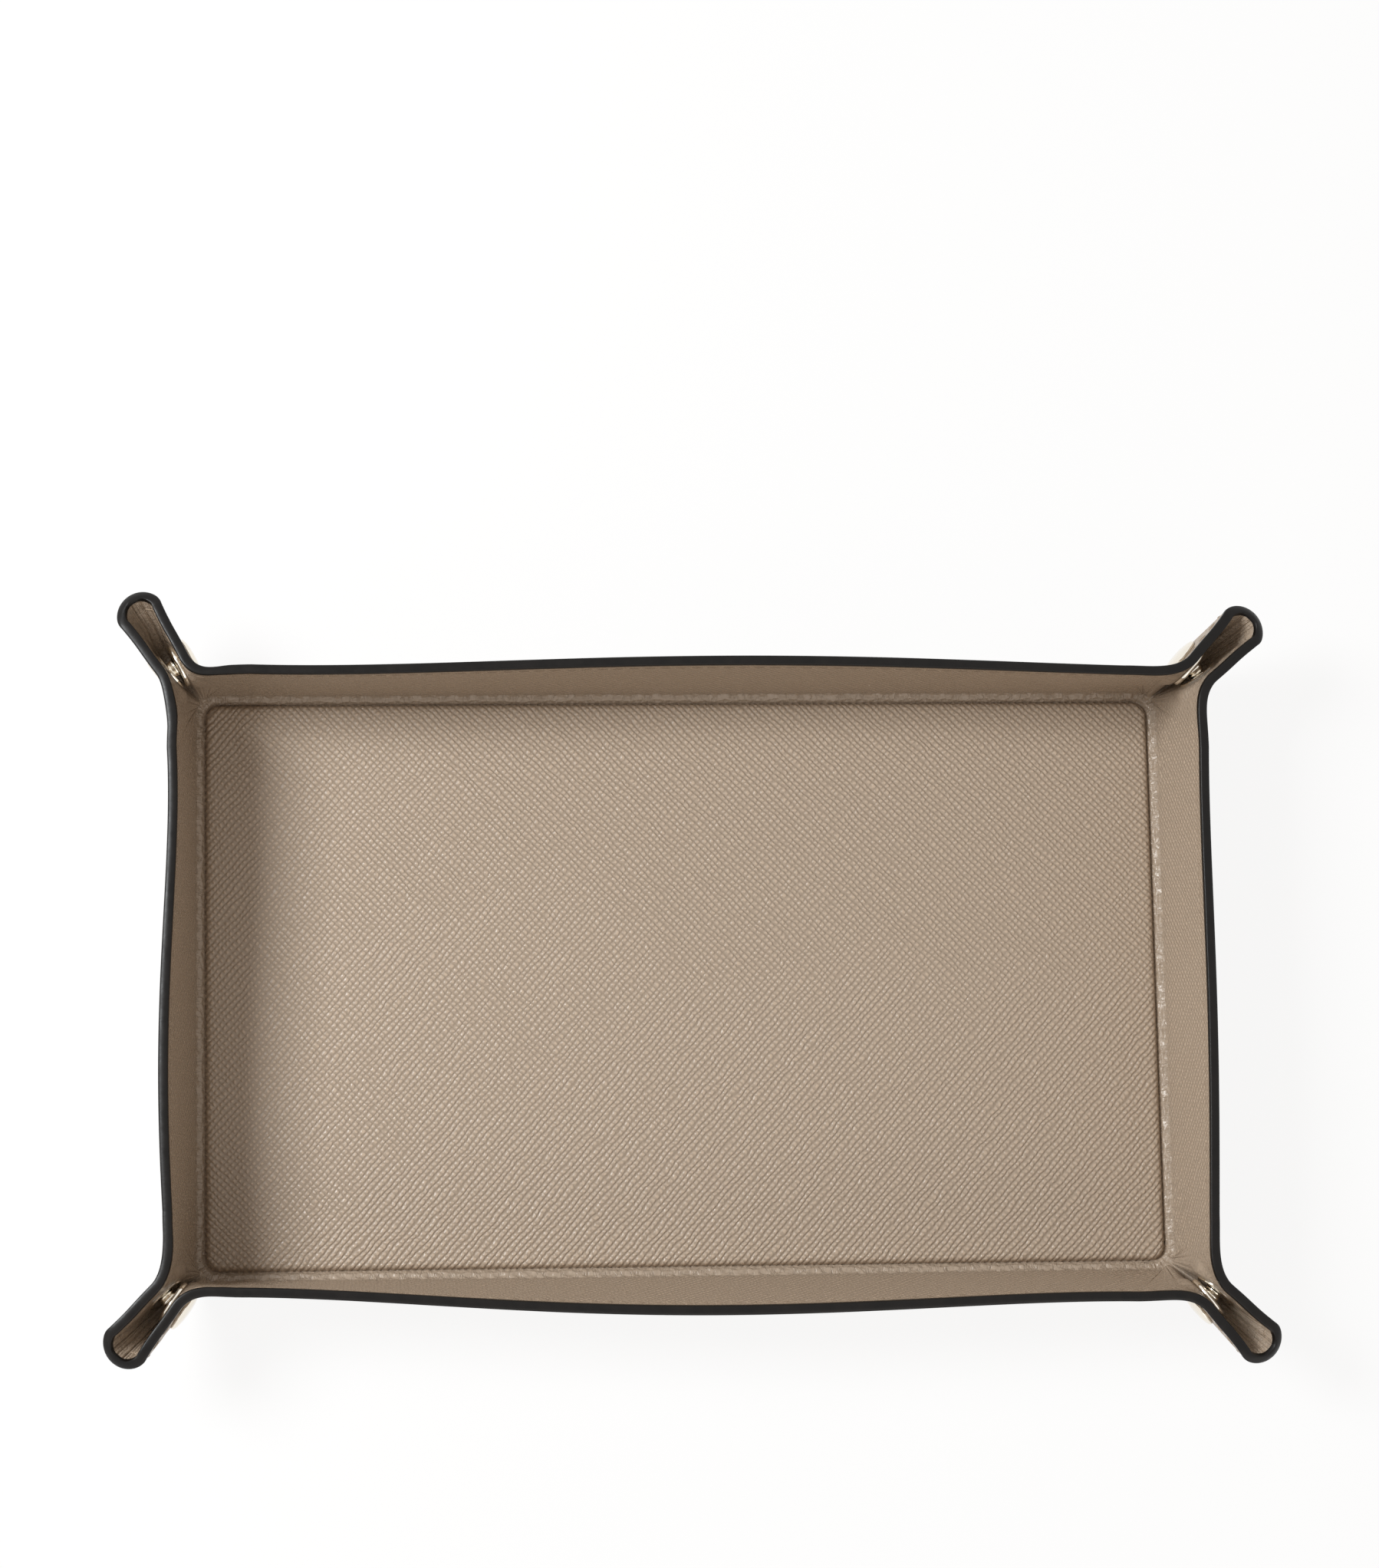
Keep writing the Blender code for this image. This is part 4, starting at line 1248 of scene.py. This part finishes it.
class TRAY_OT_stage(Operator):
    """Set the pale ground, the soft light and the camera above"""
    bl_idname = "tray.stage"
    bl_label = "Stage"

    def execute(self, context):
        deselect()
        bpy.ops.mesh.primitive_plane_add(size=GROUND_SIZE, location=(0, 0, -GROUND_DROP))
        ground = context.object
        ground.name = "ground"
        ground.data.materials.append(self.ground_material())

        for name, place, size, power, colour in LAMPS:
            bpy.ops.object.light_add(type="AREA", location=place)
            lamp = context.object
            lamp.name = name
            lamp.data.size = size
            lamp.data.energy = power
            lamp.data.color = colour
            lamp.rotation_euler = Vector(place).to_track_quat("Z", "Y").to_euler()

        world = bpy.data.worlds.new("studio")
        context.scene.world = world
        world.use_nodes = True
        tree = world.node_tree
        sky = tree.nodes["Background"]
        set_inputs(tree, sky, {"Color": SKY_COLOUR, "Strength": SKY_STRENGTH})
        white = add_node(tree, "Background", {"Color": WHITE})
        both = add_node(tree, "MixShader", {
            0: self.seen_directly(tree), 1: sky, 2: white})
        set_inputs(tree, tree.nodes["World Output"], {"Surface": both})

        bpy.ops.object.camera_add(location=CAMERA_PLACE, rotation=CAMERA_TILT)
        camera = context.object
        camera.name = "camera"
        camera.data.sensor_fit = "HORIZONTAL"
        camera.data.sensor_width = SENSOR
        camera.data.lens = FOCAL_PIXELS / PHOTO_WIDTH * SENSOR
        camera.data.shift_x = (PHOTO_WIDTH / 2 - VIEW_CENTRE[0]) / PHOTO_WIDTH
        camera.data.shift_y = (VIEW_CENTRE[1] - PHOTO_HEIGHT / 2) / PHOTO_WIDTH
        context.scene.camera = camera
        context.scene.view_settings.view_transform = "Standard"
        return {"FINISHED"}

    def seen_directly(self, tree):
        """One for what the camera, reflections and clear pieces see."""
        ray = add_node(tree, "LightPath")
        seen = ray.outputs["Is Camera Ray"]
        for kind in ("Is Glossy Ray", "Is Transmission Ray"):
            seen = add_node(tree, "Math", {0: seen, 1: ray.outputs[kind]},
                            operation="MAXIMUM").outputs[0]
        return seen

    def ground_material(self):
        """Matt white paper. The camera and reflections see it nearly pure white, with the
        tray's shadow laid softly over it."""
        white = linear("#FBFBFB")
        material, tree, shader = new_material("matt white paper", white)
        set_inputs(tree, shader, {"Roughness": 0.9, "Specular IOR Level": 0.1})
        share = add_node(tree, "Math", {
            0: self.seen_directly(tree), 1: GROUND_WHITE_SHARE}, operation="MULTIPLY")
        glow = add_node(tree, "Emission", {"Strength": 1.0})
        both = add_node(tree, "MixShader", {
            0: share, 1: shader.outputs["BSDF"], 2: glow})
        set_inputs(tree, tree.nodes["Material Output"], {"Surface": both})
        return material


class TRAY_PT_panel(Panel):
    """Lists the tray's sizes, colours and steps"""
    bl_idname = "TRAY_PT_panel"
    bl_label = "Leather Trinket Tray"
    bl_space_type = "VIEW_3D"
    bl_region_type = "UI"
    bl_category = "Tray"

    def draw(self, context):
        for name in TraySettings.__annotations__:
            self.layout.prop(context.scene.tray, name)
        for step in STEPS:
            self.layout.operator(step.bl_idname)


STEPS = (TRAY_OT_materials, TRAY_OT_floor, TRAY_OT_walls, TRAY_OT_ears, TRAY_OT_press_studs,
         TRAY_OT_stage)
CLASSES = (TraySettings, *STEPS, TRAY_PT_panel)


def register():
    for each in CLASSES:
        bpy.utils.register_class(each)
    bpy.types.Scene.tray = PointerProperty(type=TraySettings)


def unregister():
    del bpy.types.Scene.tray
    for each in reversed(CLASSES):
        bpy.utils.unregister_class(each)


def main():
    register()
    for step in ("materials", "floor", "walls", "ears", "press_studs", "stage"):
        getattr(bpy.ops.tray, step)()


if __name__ == "__main__":
    main()
